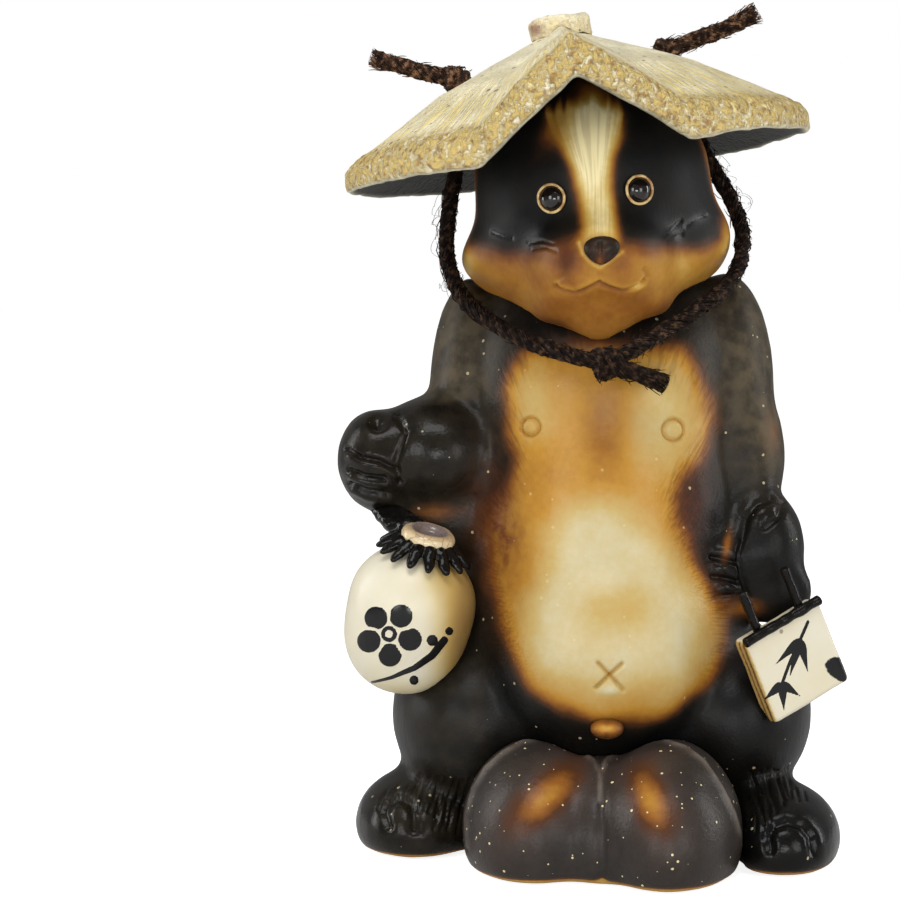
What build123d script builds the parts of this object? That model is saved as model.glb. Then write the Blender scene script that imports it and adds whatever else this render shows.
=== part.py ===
from build123d import *
from build123d.topology import SkipClean
from math import atan2, cos, degrees, hypot, radians, sin, sqrt, tan
import os

# Glazed stoneware raccoon-dog statue with a lift-off hat tied under the chin.
# Millimetres, +Z up, front faces -Y, origin on the floor under the middle of the body.
# Sides are named for what the hand on that side holds: flask side is -X, book side is +X.

# Torso, a slip-cast shell with belly and thighs
body_height = 196.0
body_width = 106.0
body_depth = 108.0
body_wall = 6.0
belly_width = 86.0
belly_depth = 102.0
belly_height = 90.0
thigh_width = 56.0
thigh_depth = 84.0
thigh_height = 62.0
vent_diameter = 12.0

# Torso stations: height, half width, half depth and rearward shift, each a share of its size
torso_station_shares = (
    (0.000, 0.96, 0.88, 0.12),
    (0.120, 0.96, 0.88, 0.12),
    (0.265, 0.98, 0.95, 0.07),
    (0.410, 0.96, 0.98, 0.03),
    (0.540, 0.91, 0.92, 0.02),
    (0.670, 0.86, 0.85, 0.02),
    (0.775, 0.86, 0.80, 0.01),
    (0.857, 0.87, 0.73, 0.00),
    (0.923, 0.81, 0.60, 0.05),
    (0.970, 0.66, 0.44, 0.08),
    (1.000, 0.38, 0.26, 0.10),
)
belly_place_shares = (0.0, -0.19, 0.357)
thigh_place_shares = (0.82, 0.0, 0.228)
vent_place_share = 0.42

# Head, a second casting luted over the neck
head_lift = 25.0
head_side_shift = -3.0
head_forward = 4.0
head_roll_angle = 5.5
head_yaw_angle = 1.0
head_wall = 5.5
skull_width = 80.0
skull_depth = 84.0
skull_height = 78.0
cheek_width = 91.0
cheek_depth = 72.0
cheek_height = 50.0
cheek_drop = 19.0
muzzle_width = 50.0
muzzle_depth = 58.0
muzzle_height = 36.0
chin_width = 50.0
chin_depth = 58.0
chin_height = 36.0
crown_width = 60.0
crown_depth = 62.0
crown_height = 92.0
muzzle_place_shares = (0.0, -0.61, -0.58)
chin_place_shares = (0.0, -0.35, -0.84)
neck_vent_diameter = 10.0

# Face pieces
eye_ring_diameter = 8.0
eye_ring_thickness = 1.7
eye_bead_diameter = 7.4
eye_spacing = 28.6
eye_drop = 2.0
eye_bead_sink_share = 0.42
nose_width = 12.4
nose_depth = 8.0
nose_height = 9.4
nose_place_shares = (0.0, -1.28, -0.52)
ear_width = 9.0
ear_depth = 10.0
ear_height = 18.0
ear_place_shares = (0.90, 0.10, 0.24)

# Arms and hands
arm_width = 34.0
arm_depth = 48.0
arm_height = 84.0
arm_place_shares = (0.785, 0.06, 0.776)
flask_forearm_width = 44.0
flask_forearm_depth = 44.0
flask_forearm_height = 38.0
flask_forearm_place_shares = (-1.04, -0.22, 0.684)
book_forearm_width = 30.0
book_forearm_depth = 40.0
book_forearm_height = 54.0
book_forearm_place_shares = (0.89, -0.04, 0.672)
fist_width = 27.0
fist_depth = 38.0
fist_height = 35.0
fist_place_shares = (-1.418, -0.26, 0.668)
paw_width = 29.0
paw_depth = 32.0
paw_height = 40.0
paw_place_shares = (1.01, -0.30, 0.520)

# Feet, pouch, nub and tail
flask_foot_width = 44.0
flask_foot_depth = 62.0
flask_foot_height = 36.0
flask_foot_place_shares = (-1.17, -0.14, 0.041)
book_foot_width = 40.0
book_foot_depth = 64.0
book_foot_height = 36.0
book_foot_place_shares = (1.11, -0.63, 0.041)
pouch_lobe_width = 50.0
flask_lobe_depth = 76.0
book_lobe_depth = 84.0
pouch_lobe_height = 62.0
pouch_bridge_width = 40.0
pouch_bridge_depth = 68.0
pouch_bridge_height = 54.0
flask_lobe_place_shares = (-0.396, -0.72, 0.061)
book_lobe_place_shares = (0.396, -0.89, 0.061)
pouch_bridge_place_shares = (0.0, -0.80, 0.056)
nub_width = 11.0
nub_depth = 14.0
nub_height = 7.0
nub_place_shares = (0.03, -1.02, 0.242)
tail_width = 54.0
tail_depth = 78.0
tail_height = 60.0
tail_place_shares = (0.08, 1.20, 0.117)
tail_tip_width = 34.0
tail_tip_depth = 34.0
tail_tip_height = 56.0
tail_tip_place_shares = (0.08, 1.36, 0.220)

# Sake flask on its clay cord
flask_diameter = 42.0
flask_height = 49.0
flask_lean_angle = 14.0
flask_tip_angle = 13.0
flask_place_shares = (-1.205, -0.54, 0.408)
flask_neck_diameter = 12.0
flask_lip_diameter = 18.0
flask_lip_height = 8.0
flask_mouth_depth = 2.6
flask_cord_diameter = 5.0
flask_fringe_count = 9
flask_fringe_length = 11.0
fringe_thickness = 4.0
fringe_start_angle = 160.0
fringe_spread_angle = 190.0
fringe_droop_angle = 24.0
strap_width = 14.0
strap_thickness = 8.0
strap_overlap = 3.0
strap_sink_share = 0.7
flask_outline_shares = ((0.30, 0.0), (0.80, 0.16), (1.0, 0.50), (0.93, 0.76), (0.55, 0.95))

# Account book hung from the paw
book_width = 31.0
book_thickness = 8.0
book_height = 30.0
book_edge_radius = 1.5
book_yaw_angle = 28.0
book_roll_angle = 24.0
book_place_shares = (1.175, -0.66, 0.340)
binding_diameter = 3.4
book_cord_diameter = 3.2
book_cord_height = 15.0
book_cord_place_share = 0.28
book_cord_forward_share = 0.25

# Hat: a round cone with its front folded up in a ridge
hat_diameter = 157.0
hat_thickness = 7.5
hat_crown_share = 0.56
hat_crown_slope_share = 0.43
hat_brim_slope_share = 0.60
hat_rim_bevel = 2.0
hat_fold_half_angle = 26.0
hat_fold_share = 0.34
fold_step_shares = (-1.0, -0.5, 0.0, 0.5, 1.0)
hat_hub_diameter = 8.0
hat_side_shift = -3.6
hat_back_shift = 2.0
hat_roll_angle = 8.0
hat_pitch_angle = 3.8
hat_yaw_angle = 5.0
hat_clearance = 0.3
knob_diameter = 20.6
knob_height = 8.4
knob_round = 2.0
cord_hole_diameter = 6.2
cord_hole_spacing = 73.2
cord_hole_back = 12.0

# Palm rope through the hat and under the chin
rope_diameter = 5.0
hinge_drop = 3.2
hinge_clearance = 0.3
stopper_knot_width = 12.0
stopper_knot_height = 10.0
chin_knot_width = 15.0
chin_knot_depth = 10.0
chin_knot_height = 11.0
bend_share = 0.45
cut_overrun = 1.0


def quartered_ball():
    """A unit ball kept in four quarters, so that none of its faces closes on itself."""
    quarter = Sphere(1, arc_size3=90, align=(Align.NONE, Align.NONE, Align.NONE))
    ball = quarter
    with SkipClean():
        for turn in (90, 180, 270):
            ball += Rot(0, 0, turn) * quarter
    return ball


unit_ball = quartered_ball()


def egg(center, width, depth, height):
    """A ball stretched to three diameters and set at a centre."""
    return Pos(*center) * scale(unit_ball, by=(width / 2, depth / 2, height / 2))


def shrunk_egg(center, width, depth, height, wall):
    """The hollow left inside an egg by a wall of even thickness."""
    return egg(center, width - 2 * wall, depth - 2 * wall, height - 2 * wall)


def on_body(shares, side=1):
    """A place given as shares of the torso's half width, half depth and height."""
    return (side * shares[0] * body_width / 2, shares[1] * body_depth / 2, shares[2] * body_height)


def on_head(shares, side=1):
    """A place in the head's own frame, as shares of the skull's half sizes."""
    return (side * shares[0] * skull_width / 2, shares[1] * skull_depth / 2, shares[2] * skull_height / 2)


def torso_loft(wall=0.0):
    """The torso through its stations, or the hollow inside its wall."""
    sections = []
    for height, half_width, half_depth, shift in torso_station_shares:
        level = wall + height * (body_height - 2 * wall)
        outline = Ellipse(half_width * body_width / 2 - wall, half_depth * body_depth / 2 - wall)
        sections.append(Pos(0, shift * body_depth / 2, level) * outline)
    return loft(sections)


def standing(solid):
    """What of a solid lies above the floor."""
    reach = 2 * (body_height + body_depth)
    return solid & (Pos(0, 0, reach / 2) * Box(reach, reach, reach))


# Torso with belly and thighs
belly_center = on_body(belly_place_shares)
belly = egg(belly_center, belly_width, belly_depth, belly_height)
belly_hollow = shrunk_egg(belly_center, belly_width, belly_depth, belly_height, body_wall)
thighs = []
thigh_hollows = []
for side in (-1, 1):
    center = on_body(thigh_place_shares, side)
    thighs.append(egg(center, thigh_width, thigh_depth, thigh_height))
    thigh_hollows.append(shrunk_egg(center, thigh_width, thigh_depth, thigh_height, body_wall))
body_outer = torso_loft() + belly + thighs[0] + thighs[1]
body_hollow = torso_loft(body_wall) + belly_hollow + thigh_hollows[0] + thigh_hollows[1]
vent_height = 2 * (body_wall + cut_overrun)
floor_vent = Pos(0, vent_place_share * body_depth / 2, 0) * Cylinder(vent_diameter / 2, vent_height)

# Head casting in its own leaning frame
head_center = (head_side_shift, -head_forward, body_height + head_lift)
head_frame = Pos(*head_center) * Rot(0, -head_roll_angle, head_yaw_angle)
hat_frame = (
    Pos(head_center[0] + hat_side_shift, head_center[1] + hat_back_shift, head_center[2])
    * Rot(-hat_pitch_angle, 0, 0)
    * Rot(0, -hat_roll_angle, 0)
    * Rot(0, 0, hat_yaw_angle)
)
head_center_local = (0, 0, 0)
cheek_center = (0, 0, -cheek_drop)
skull = egg(head_center_local, skull_width, skull_depth, skull_height)
cheeks = egg(cheek_center, cheek_width, cheek_depth, cheek_height)
muzzle = egg(on_head(muzzle_place_shares), muzzle_width, muzzle_depth, muzzle_height)
chin = egg(on_head(chin_place_shares), chin_width, chin_depth, chin_height)
skull_hollow = shrunk_egg(head_center_local, skull_width, skull_depth, skull_height, head_wall)
cheek_hollow = shrunk_egg(cheek_center, cheek_width, cheek_depth, cheek_height, head_wall)
crown = hat_frame * egg(head_center_local, crown_width, crown_depth, crown_height)
head_outer = head_frame * (skull + cheeks + muzzle + chin) + crown
head_hollow = head_frame * (skull_hollow + cheek_hollow)
neck_vent_height = head_lift + 2 * body_wall
neck_vent = Pos(0, 0, body_height) * Cylinder(neck_vent_diameter / 2, neck_vent_height)

body_casting = body_outer - body_hollow - floor_vent - neck_vent
head_casting = head_outer - head_hollow - body_outer - neck_vent

# Eyes, nose and ears on the head
eye_reach_share = eye_spacing / skull_width
eye_height_share = 2 * eye_drop / skull_height
eye_forward = skull_depth / 2 * sqrt(1 - eye_reach_share**2 - eye_height_share**2)
eye_turn_angle = degrees(atan2(eye_spacing / 2 / skull_width**2, eye_forward / skull_depth**2))
eye_rings = []
eye_beads = []
ears = []
for side in (-1, 1):
    eye_place = Pos(side * eye_spacing / 2, -eye_forward, -eye_drop) * Rot(0, 0, side * eye_turn_angle)
    ring = Rot(90, 0, 0) * Torus(eye_ring_diameter / 2, eye_ring_thickness / 2)
    bead = Pos(0, eye_bead_diameter / 2 * eye_bead_sink_share, 0) * Sphere(eye_bead_diameter / 2)
    eye_beads.append(head_frame * eye_place * bead - head_outer)
    eye_rings.append(head_frame * eye_place * ring - head_outer - head_frame * eye_place * bead)
    ear = egg(on_head(ear_place_shares, side), ear_width, ear_depth, ear_height)
    ears.append(head_frame * ear - head_outer)
nose_pad = head_frame * egg(on_head(nose_place_shares), nose_width, nose_depth, nose_height) - head_outer

# Arms, fist and paw
upper_arms = [egg(on_body(arm_place_shares, side), arm_width, arm_depth, arm_height) for side in (-1, 1)]
flask_forearm_center = on_body(flask_forearm_place_shares)
flask_forearm = egg(flask_forearm_center, flask_forearm_width, flask_forearm_depth, flask_forearm_height)
book_forearm_center = on_body(book_forearm_place_shares)
book_forearm = egg(book_forearm_center, book_forearm_width, book_forearm_depth, book_forearm_height)
flask_arm = upper_arms[0] + flask_forearm - body_outer - head_outer
book_arm = upper_arms[1] + book_forearm - body_outer - head_outer
fist_center = on_body(fist_place_shares)
paw_center = on_body(paw_place_shares)
fist_egg = egg(fist_center, fist_width, fist_depth, fist_height)
flask_fist = fist_egg - flask_forearm - upper_arms[0] - body_outer
book_paw = egg(paw_center, paw_width, paw_depth, paw_height) - book_forearm - upper_arms[1] - body_outer

# Pouch of two lobes, nub, feet and tail
pouch_outer = standing(
    egg(on_body(flask_lobe_place_shares), pouch_lobe_width, flask_lobe_depth, pouch_lobe_height)
    + egg(on_body(book_lobe_place_shares), pouch_lobe_width, book_lobe_depth, pouch_lobe_height)
    + egg(on_body(pouch_bridge_place_shares), pouch_bridge_width, pouch_bridge_depth, pouch_bridge_height)
)
money_pouch = pouch_outer - body_outer
small_nub = egg(on_body(nub_place_shares), nub_width, nub_depth, nub_height) - body_outer - pouch_outer
flask_foot = egg(on_body(flask_foot_place_shares), flask_foot_width, flask_foot_depth, flask_foot_height)
book_foot = egg(on_body(book_foot_place_shares), book_foot_width, book_foot_depth, book_foot_height)
flask_side_foot = standing(flask_foot) - body_outer - pouch_outer
book_side_foot = standing(book_foot) - body_outer - pouch_outer
tail_base = egg(on_body(tail_place_shares), tail_width, tail_depth, tail_height)
tail_tip = egg(on_body(tail_tip_place_shares), tail_tip_width, tail_tip_depth, tail_tip_height)
tail = standing(tail_base) + tail_tip - body_outer

# Flask: a turned jar that leans, with a dished lip and a fringed clay cord round its neck
flask_center = on_body(flask_place_shares)
flask_turn = Rot(flask_tip_angle, 0, 0) * Rot(0, flask_lean_angle, 0)
flask_frame = Pos(*flask_center) * flask_turn * Pos(0, 0, -flask_height / 2)
flask_outline = [(x * flask_diameter / 2, z * flask_height) for x, z in flask_outline_shares]
flask_curve = Spline(*flask_outline, (flask_neck_diameter / 2, flask_height))
flask_sides = Polyline((flask_neck_diameter / 2, flask_height), (0, flask_height), (0, 0), flask_outline[0])
flask_profile = Plane.XZ * make_face(flask_curve + flask_sides)
flask_turned = flask_frame * revolve(flask_profile, Axis.Z)
on_its_foot = (Align.CENTER, Align.CENTER, Align.MIN)
lip_cone = Cone(flask_neck_diameter / 2, flask_lip_diameter / 2, flask_lip_height, align=on_its_foot)
lip_outer = Pos(0, 0, flask_height) * lip_cone
lip_dish_height = flask_lip_height + flask_height
lip_dish_width = flask_lip_diameter - flask_mouth_depth
lip_dish = egg((0, 0, lip_dish_height), lip_dish_width, lip_dish_width, 2 * flask_mouth_depth)
flask_lip_turned = flask_frame * (lip_outer - lip_dish)
arm_side = flask_arm + flask_fist
sake_flask = flask_turned - body_outer - arm_side
flask_lip = flask_lip_turned - body_outer - arm_side
cord_ring_radius = (flask_neck_diameter + flask_cord_diameter) / 2
cord_shape = Pos(0, 0, flask_height) * Torus(cord_ring_radius, flask_cord_diameter / 2)
for index in range(flask_fringe_count):
    turn = fringe_start_angle + index * fringe_spread_angle / (flask_fringe_count - 1)
    tuft = egg((0, 0, 0), flask_fringe_length, flask_cord_diameter, fringe_thickness)
    tuft_place = Pos(cord_ring_radius + flask_cord_diameter / 2, 0, flask_height)
    cord_shape += Rot(0, 0, turn) * tuft_place * Rot(0, fringe_droop_angle, 0) * tuft
neck_top = (flask_frame * Pos(0, 0, flask_height)).position
strap_top = Vector(fist_center[0], fist_center[1], fist_center[2] - strap_sink_share * fist_height / 2)
strap_line = strap_top - neck_top
strap_plane = Plane(origin=(strap_top + neck_top) / 2, z_dir=strap_line)
strap_local = egg((0, 0, 0), strap_width, strap_thickness, strap_line.length + 2 * strap_overlap)
cord_strap = strap_plane.location * strap_local
flask_cord = flask_frame * cord_shape + cord_strap - flask_turned - flask_lip_turned - arm_side - body_outer

# Book, its binding bar and the two cords that hold it to the paw
book_center = on_body(book_place_shares)
book_frame = Pos(*book_center) * Rot(0, 0, book_yaw_angle) * Rot(0, -book_roll_angle, 0)
book_block = book_frame * fillet(Box(book_width, book_thickness, book_height).edges(), book_edge_radius)
account_book = book_block - body_outer
binding_place = Pos(0, -book_thickness / 2, book_height / 2) * Rot(0, 90, 0)
binding_bar = book_frame * binding_place * Cylinder(binding_diameter / 2, book_width)
book_binding = binding_bar - book_block - body_outer
paw_side = book_arm + book_paw
cord_forward = book_cord_forward_share * book_thickness
cord_level = (book_height + book_cord_height) / 2
book_cords = Part() + [
    book_frame
    * Pos(side * book_width * book_cord_place_share, -cord_forward, cord_level)
    * Cylinder(book_cord_diameter / 2, book_cord_height)
    for side in (-1, 1)
]
book_cords = book_cords - book_block - binding_bar - paw_side - body_outer

# Hat shell: a turned cone whose front sector is lofted up into a ridge
hat_radius = hat_diameter / 2
hat_crown_radius = hat_crown_share * hat_radius
crown_lean = hat_crown_slope_share * crown_width / 2
hat_apex = hat_thickness + hat_clearance + hypot(crown_height / 2, crown_lean)


def hat_drop(radius, fold=1.0):
    """How far the hat's top lies below its apex at a radius; fold is 1 on the plain cone."""
    inner = min(radius, hat_crown_radius) * hat_crown_slope_share
    outer = max(radius - hat_crown_radius, 0) * hat_brim_slope_share
    return fold * (inner + outer)


def hat_section(fold, inner_radius):
    """Closed outline of the hat's wall in its radial plane."""
    bevel = hat_rim_bevel
    top = [(r, hat_apex - hat_drop(r, fold)) for r in (inner_radius, hat_crown_radius, hat_radius - bevel)]
    rim_top = hat_apex - hat_drop(hat_radius, fold)
    rim = [(hat_radius, rim_top - bevel), (hat_radius, rim_top - hat_thickness + bevel)]
    under = [(r, z - hat_thickness) for r, z in reversed(top)]
    return make_face(Polyline(*top, *rim, *under, close=True))


fold_sections = []
for step in fold_step_shares:
    fold = hat_fold_share + (1 - hat_fold_share) * abs(step)
    turn = Rot(0, 0, step * hat_fold_half_angle - 90) * Rot(90, 0, 0)
    fold_sections.append(turn * hat_section(fold, hat_hub_diameter / 2))
folded_front = loft(fold_sections, ruled=True)
round_part = revolve(fold_sections[-1], Axis.Z, 360 - 2 * hat_fold_half_angle)
cord_holes = Part() + [
    Pos(side * cord_hole_spacing / 2, cord_hole_back, 0) * Cylinder(cord_hole_diameter / 2, 2 * hat_apex)
    for side in (-1, 1)
]
hat_local = round_part + folded_front - cord_holes
hat_shell = hat_frame * hat_local
knob_foot = hat_apex - hat_drop(knob_diameter / 2) - cut_overrun
knob_cap = Pos(0, 0, knob_foot) * Cylinder(knob_diameter / 2, knob_height, align=on_its_foot)
knob_cap = fillet(knob_cap.edges().group_by(Axis.Z)[-1], knob_round)
knob_stem = Cylinder(hat_hub_diameter / 2, hat_thickness, align=on_its_foot)
hat_knob = hat_frame * (knob_cap + Pos(0, 0, hat_apex - hat_thickness) * knob_stem - hat_local)


def cord_tube(name, points):
    """Tube of rope along straight runs joined by arcs that use most of the shorter run."""
    radii = []
    for before, here, after in zip(points, points[1:], points[2:]):
        run_in = Vector(*here) - Vector(*before)
        run_out = Vector(*after) - Vector(*here)
        turn = radians(run_in.get_angle(run_out))
        radii.append(bend_share * min(run_in.length, run_out.length) / tan(turn / 2))
    path = FilletPolyline(*points, radius=radii)
    section = Plane(origin=path @ 0, z_dir=path % 0) * Circle(rope_diameter / 2)
    tube = sweep(section, path=path)
    expected = section.area * path.length
    print(f"{name}: length {path.length:.1f}, volume share {tube.volume / expected:.4f},",
          "radii", [round(radius, 1) for radius in radii])
    return tube


# Stopper knots on the hat, each with its stub through the hole and its frayed tail
hole_radius = hypot(cord_hole_spacing / 2, cord_hole_back)
hole_top = hat_apex - hat_drop(hole_radius)
hinge_level = hole_top - hat_thickness - hinge_drop
stub_bottom = hinge_level + rope_diameter / 2 + hinge_clearance
tail_routes = {
    "flask_side": [(-49.9, 9.3, 258.7), (-57.5, 9.5, 259.8), (-67.0, 10.5, 263.0), (-77.5, 11.0, 265.5)],
    "book_side": [(22.3, 16.3, 268.4), (32.0, 15.8, 272.6), (42.5, 15.5, 276.0), (52.5, 15.0, 281.0)],
}
stopper_knots = {}
for side, name in ((-1, "flask_side"), (1, "book_side")):
    hole_x = side * cord_hole_spacing / 2
    knot_level = hole_top + stopper_knot_height / 2
    stub_height = knot_level - stub_bottom
    stub_rod = Cylinder(rope_diameter / 2, stub_height, align=on_its_foot)
    stub = Pos(hole_x, cord_hole_back, stub_bottom) * stub_rod
    knot_center = (hole_x, cord_hole_back, knot_level)
    knot = egg(knot_center, stopper_knot_width, stopper_knot_width, stopper_knot_height)
    rope_tail = cord_tube(name + "_tail", tail_routes[name])
    stopper_knots[name] = hat_frame * (stub + knot) + rope_tail - hat_shell
    hinge_point = hat_frame * Pos(hole_x, cord_hole_back, hinge_level)
    print(name, "hinge point", hinge_point.position)
    knot_point = hat_frame * Pos(*knot_center)
    print(name, "knot centre", knot_point.position)

# Chin cords: each hangs from its hinge point, rounds the cheek and ends in the chin knot
chin_routes = {
    "flask_side": [
        (-47.7, 8.3, 243.2), (-49.0, 5.0, 230.0), (-51.5, -2.0, 214.0), (-52.3, -11.0, 198.5),
        (-47.0, -22.5, 186.0), (-36.5, -33.5, 177.5), (-24.0, -42.5, 171.5), (-10.0, -48.8, 167.0),
        (0.5, -50.0, 165.0),
    ],
    "book_side": [
        (24.5, 15.3, 252.9), (31.0, 14.5, 241.0), (38.0, 10.5, 228.0), (45.0, 3.0, 216.0),
        (48.2, -6.5, 203.0), (44.0, -17.5, 191.5), (34.5, -28.5, 183.5), (23.5, -38.0, 176.5),
        (12.0, -46.0, 170.0), (1.5, -50.0, 165.0),
    ],
}
chin_knot_center = (1.0, -50.5, 165.0)
chin_tail_route = [(1.0, -51.0, 165.0), (8.0, -52.5, 162.5), (16.0, -52.0, 160.5), (23.5, -50.5, 157.5)]
chin_cords = {}
chin_knot_ball = egg(chin_knot_center, chin_knot_width, chin_knot_depth, chin_knot_height)
for name, route in chin_routes.items():
    hinge_ball = Pos(*route[0]) * Sphere(rope_diameter / 2)
    chin_cords[name] = cord_tube(name + "_chin_cord", route) + hinge_ball - chin_knot_ball
chin_knot = chin_knot_ball + cord_tube("chin_tail", chin_tail_route)

parts = {
    "body_casting": body_casting,
    "head_casting": head_casting,
    "flask_side_ear": ears[0],
    "book_side_ear": ears[1],
    "flask_side_eye_ring": eye_rings[0],
    "book_side_eye_ring": eye_rings[1],
    "flask_side_eye_bead": eye_beads[0],
    "book_side_eye_bead": eye_beads[1],
    "nose_pad": nose_pad,
    "flask_arm": flask_arm,
    "book_arm": book_arm,
    "flask_fist": flask_fist,
    "book_paw": book_paw,
    "flask_side_foot": flask_side_foot,
    "book_side_foot": book_side_foot,
    "money_pouch": money_pouch,
    "small_nub": small_nub,
    "tail": tail,
    "sake_flask": sake_flask,
    "flask_lip": flask_lip,
    "flask_cord": flask_cord,
    "account_book": account_book,
    "book_binding": book_binding,
    "book_cords": book_cords,
    "hat_shell": hat_shell,
    "hat_knob": hat_knob,
    "flask_side_stopper_knot": stopper_knots["flask_side"],
    "book_side_stopper_knot": stopper_knots["book_side"],
    "flask_side_chin_cord": chin_cords["flask_side"],
    "book_side_chin_cord": chin_cords["book_side"],
    "chin_knot": chin_knot,
}

os.makedirs("parts", exist_ok=True)
for name, shape in parts.items():
    export_step(shape, f"parts/{name}.step")
    print(name, len(shape.solids()), round(shape.volume))
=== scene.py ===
"""A glazed stoneware tanuki: clay, glazes, hat, flask, book and palm-fibre ropes, in metres."""
import logging
import math
from dataclasses import dataclass, field
from enum import Enum
from itertools import product
from typing import NamedTuple

import bmesh
import bpy
import numpy as np
from mathutils import Matrix, Vector


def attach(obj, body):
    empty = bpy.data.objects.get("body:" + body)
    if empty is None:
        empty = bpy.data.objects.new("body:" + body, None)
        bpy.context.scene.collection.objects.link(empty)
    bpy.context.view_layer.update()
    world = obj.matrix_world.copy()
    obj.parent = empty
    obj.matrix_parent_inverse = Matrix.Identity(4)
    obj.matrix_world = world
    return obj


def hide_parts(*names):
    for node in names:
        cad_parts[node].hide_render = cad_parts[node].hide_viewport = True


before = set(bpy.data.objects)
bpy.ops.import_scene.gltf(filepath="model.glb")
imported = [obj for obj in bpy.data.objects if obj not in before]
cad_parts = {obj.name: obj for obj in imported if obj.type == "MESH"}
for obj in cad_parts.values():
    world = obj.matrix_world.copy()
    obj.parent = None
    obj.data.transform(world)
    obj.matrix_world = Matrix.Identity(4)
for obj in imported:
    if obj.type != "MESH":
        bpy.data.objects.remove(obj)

log = logging.getLogger("tanuki")
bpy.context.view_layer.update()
MM = 0.001

Array = np.ndarray
Spot = tuple[float, float]
Path2 = tuple[Spot, ...]
Point3 = tuple[float, float, float]
Colour = tuple[float, float, float]


class Body(Enum):
    """The three bodies that pieces ride on."""

    STATUE = "statue"
    HAT = "hat"
    CHIN_LOOP = "chin_loop"


class Coat(Enum):
    """What is painted on the clay, one number a point."""

    GLAZE = "glaze"
    RUST = "rust"
    # Mottle on the glazes; on the hat this coat carries the dark underside, partly painted shade.
    MOTTLE_AND_UNDERSIDE_SHADE = "mottle"
    WET = "wet"
    FUR = "fur"
    FLECK = "fleck"


class Oval(NamedTuple):
    """A soft oval in the view: what it brings there, how it leans in degrees and how fully it is laid."""

    center: Spot
    reach: Spot
    amount: float
    lean: float = 0.0
    share: float = 1.0


class Combing(NamedTuple):
    """A row of uneven strokes between two spots, with their run, half width, millimetres and seed."""

    start: Spot
    end: Spot
    count: int
    run: Spot
    width: float
    depth: float
    seed: int


def smooth_step(low: float, high: float, value: Array) -> Array:
    """Ease from 0 at low to 1 at high."""
    share = np.clip((value - low) / (high - low), 0.0, 1.0)
    return share * share * (3.0 - 2.0 * share)


def lumps(points: Array, size: float, seed: int) -> Array:
    """Smooth uneven lumps.

    Args:
        points: Places, one row each.
        size: Width of a lump in metres.
        seed: Which set of lumps.

    Returns:
        One value from -1 to 1 for each point.
    """
    table = np.random.default_rng(seed).random(65521)
    grid = points / size
    low = np.floor(grid).astype(np.int64)
    part = grid - low
    part = part * part * (3.0 - 2.0 * part)
    total = np.zeros(len(points))
    for corner in product((0, 1), repeat=3):
        cell = low + np.array(corner)
        slot = (cell[:, 0] * 73856093 ^ cell[:, 1] * 19349663 ^ cell[:, 2] * 83492791) % len(table)
        weight = np.prod(np.where(np.array(corner) == 1, part, 1.0 - part), axis=1)
        total += weight * table[slot]
    return total * 2.0 - 1.0


def turned(x: float = 0.0, y: float = 0.0, z: float = 0.0) -> Matrix:
    """A turn by angles in degrees, about x, then y, then z of the turned frame."""
    turn = Matrix.Rotation(math.radians(x), 4, "X") @ Matrix.Rotation(math.radians(y), 4, "Y")
    return turn @ Matrix.Rotation(math.radians(z), 4, "Z")


def at(x: float, y: float, z: float) -> Matrix:
    """A move by millimetres."""
    return Matrix.Translation((x * MM, y * MM, z * MM))


def in_frame(matrix: Matrix, points: Array) -> Array:
    """Points taken into a matrix's own frame."""
    inverse = np.array(matrix.inverted())
    return points @ inverse[:3, :3].T + inverse[:3, 3]


@dataclass(frozen=True)
class Sight:
    """The view the marks are laid out in: where it stands and how it frames the statue."""

    eye: Point3 = (0.0, -1.0, 0.205)
    pitch: float = 4.1
    focal: float = 2960.0
    middle_column: float = 602.0
    middle_row: float = 450.0
    frame_side: float = 900.0
    sensor: float = 36.0

    def flatten(self, points: Array) -> Array:
        """Column and row of each point in the view."""
        sine, cosine = math.sin(math.radians(self.pitch)), math.cos(math.radians(self.pitch))
        away = points - np.array(self.eye)
        depth = away[:, 1] * cosine - away[:, 2] * sine
        rise = away[:, 1] * sine + away[:, 2] * cosine
        column = self.middle_column + self.focal * away[:, 0] / depth
        row = self.middle_row - self.focal * rise / depth
        return np.stack([column, row], axis=1)

    def facing(self, points: Array, normals: Array) -> Array:
        """How far each point faces the view, from 0 to 1."""
        toward = np.array(self.eye) - points
        toward /= np.linalg.norm(toward, axis=1, keepdims=True)
        return smooth_step(0.02, 0.34, np.sum(toward * normals, axis=1))

    def set_camera(self) -> None:
        """Place the camera that sees what the marks were laid out in."""
        data = bpy.data.cameras.new("view")
        data.lens = self.focal * self.sensor / self.frame_side
        data.sensor_width = self.sensor
        data.shift_x = (self.frame_side / 2 - self.middle_column) / self.frame_side
        camera = bpy.data.objects.new("view", data)
        camera.location = self.eye
        camera.rotation_euler = (math.radians(90.0 - self.pitch), 0.0, 0.0)
        bpy.context.collection.objects.link(camera)
        bpy.context.scene.camera = camera


SIGHT = Sight()


def line_distance(spots: Array, path: Path2) -> Array:
    """Distance of each flat spot from a path of straight runs."""
    nearest = np.full(len(spots), np.inf)
    for start, end in zip(path, path[1:]):
        origin, run = np.array(start), np.array(end) - np.array(start)
        share = np.clip((spots - origin) @ run / max(run @ run, 1e-9), 0.0, 1.0)
        gap = np.linalg.norm(spots - origin - share[:, None] * run, axis=1)
        nearest = np.minimum(nearest, gap)
    return nearest


def depth_inside(spots: Array, outline: Path2) -> Array:
    """How deep each flat spot lies inside an outline, below 0 outside it."""
    inside = np.zeros(len(spots), bool)
    closed = outline + outline[:1]
    for (x0, y0), (x1, y1) in zip(closed, closed[1:]):
        crosses = (y0 > spots[:, 1]) != (y1 > spots[:, 1])
        if y0 != y1:
            inside ^= crosses & (spots[:, 0] < (x1 - x0) * (spots[:, 1] - y0) / (y1 - y0) + x0)
    return np.where(inside, 1.0, -1.0) * line_distance(spots, closed)


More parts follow.
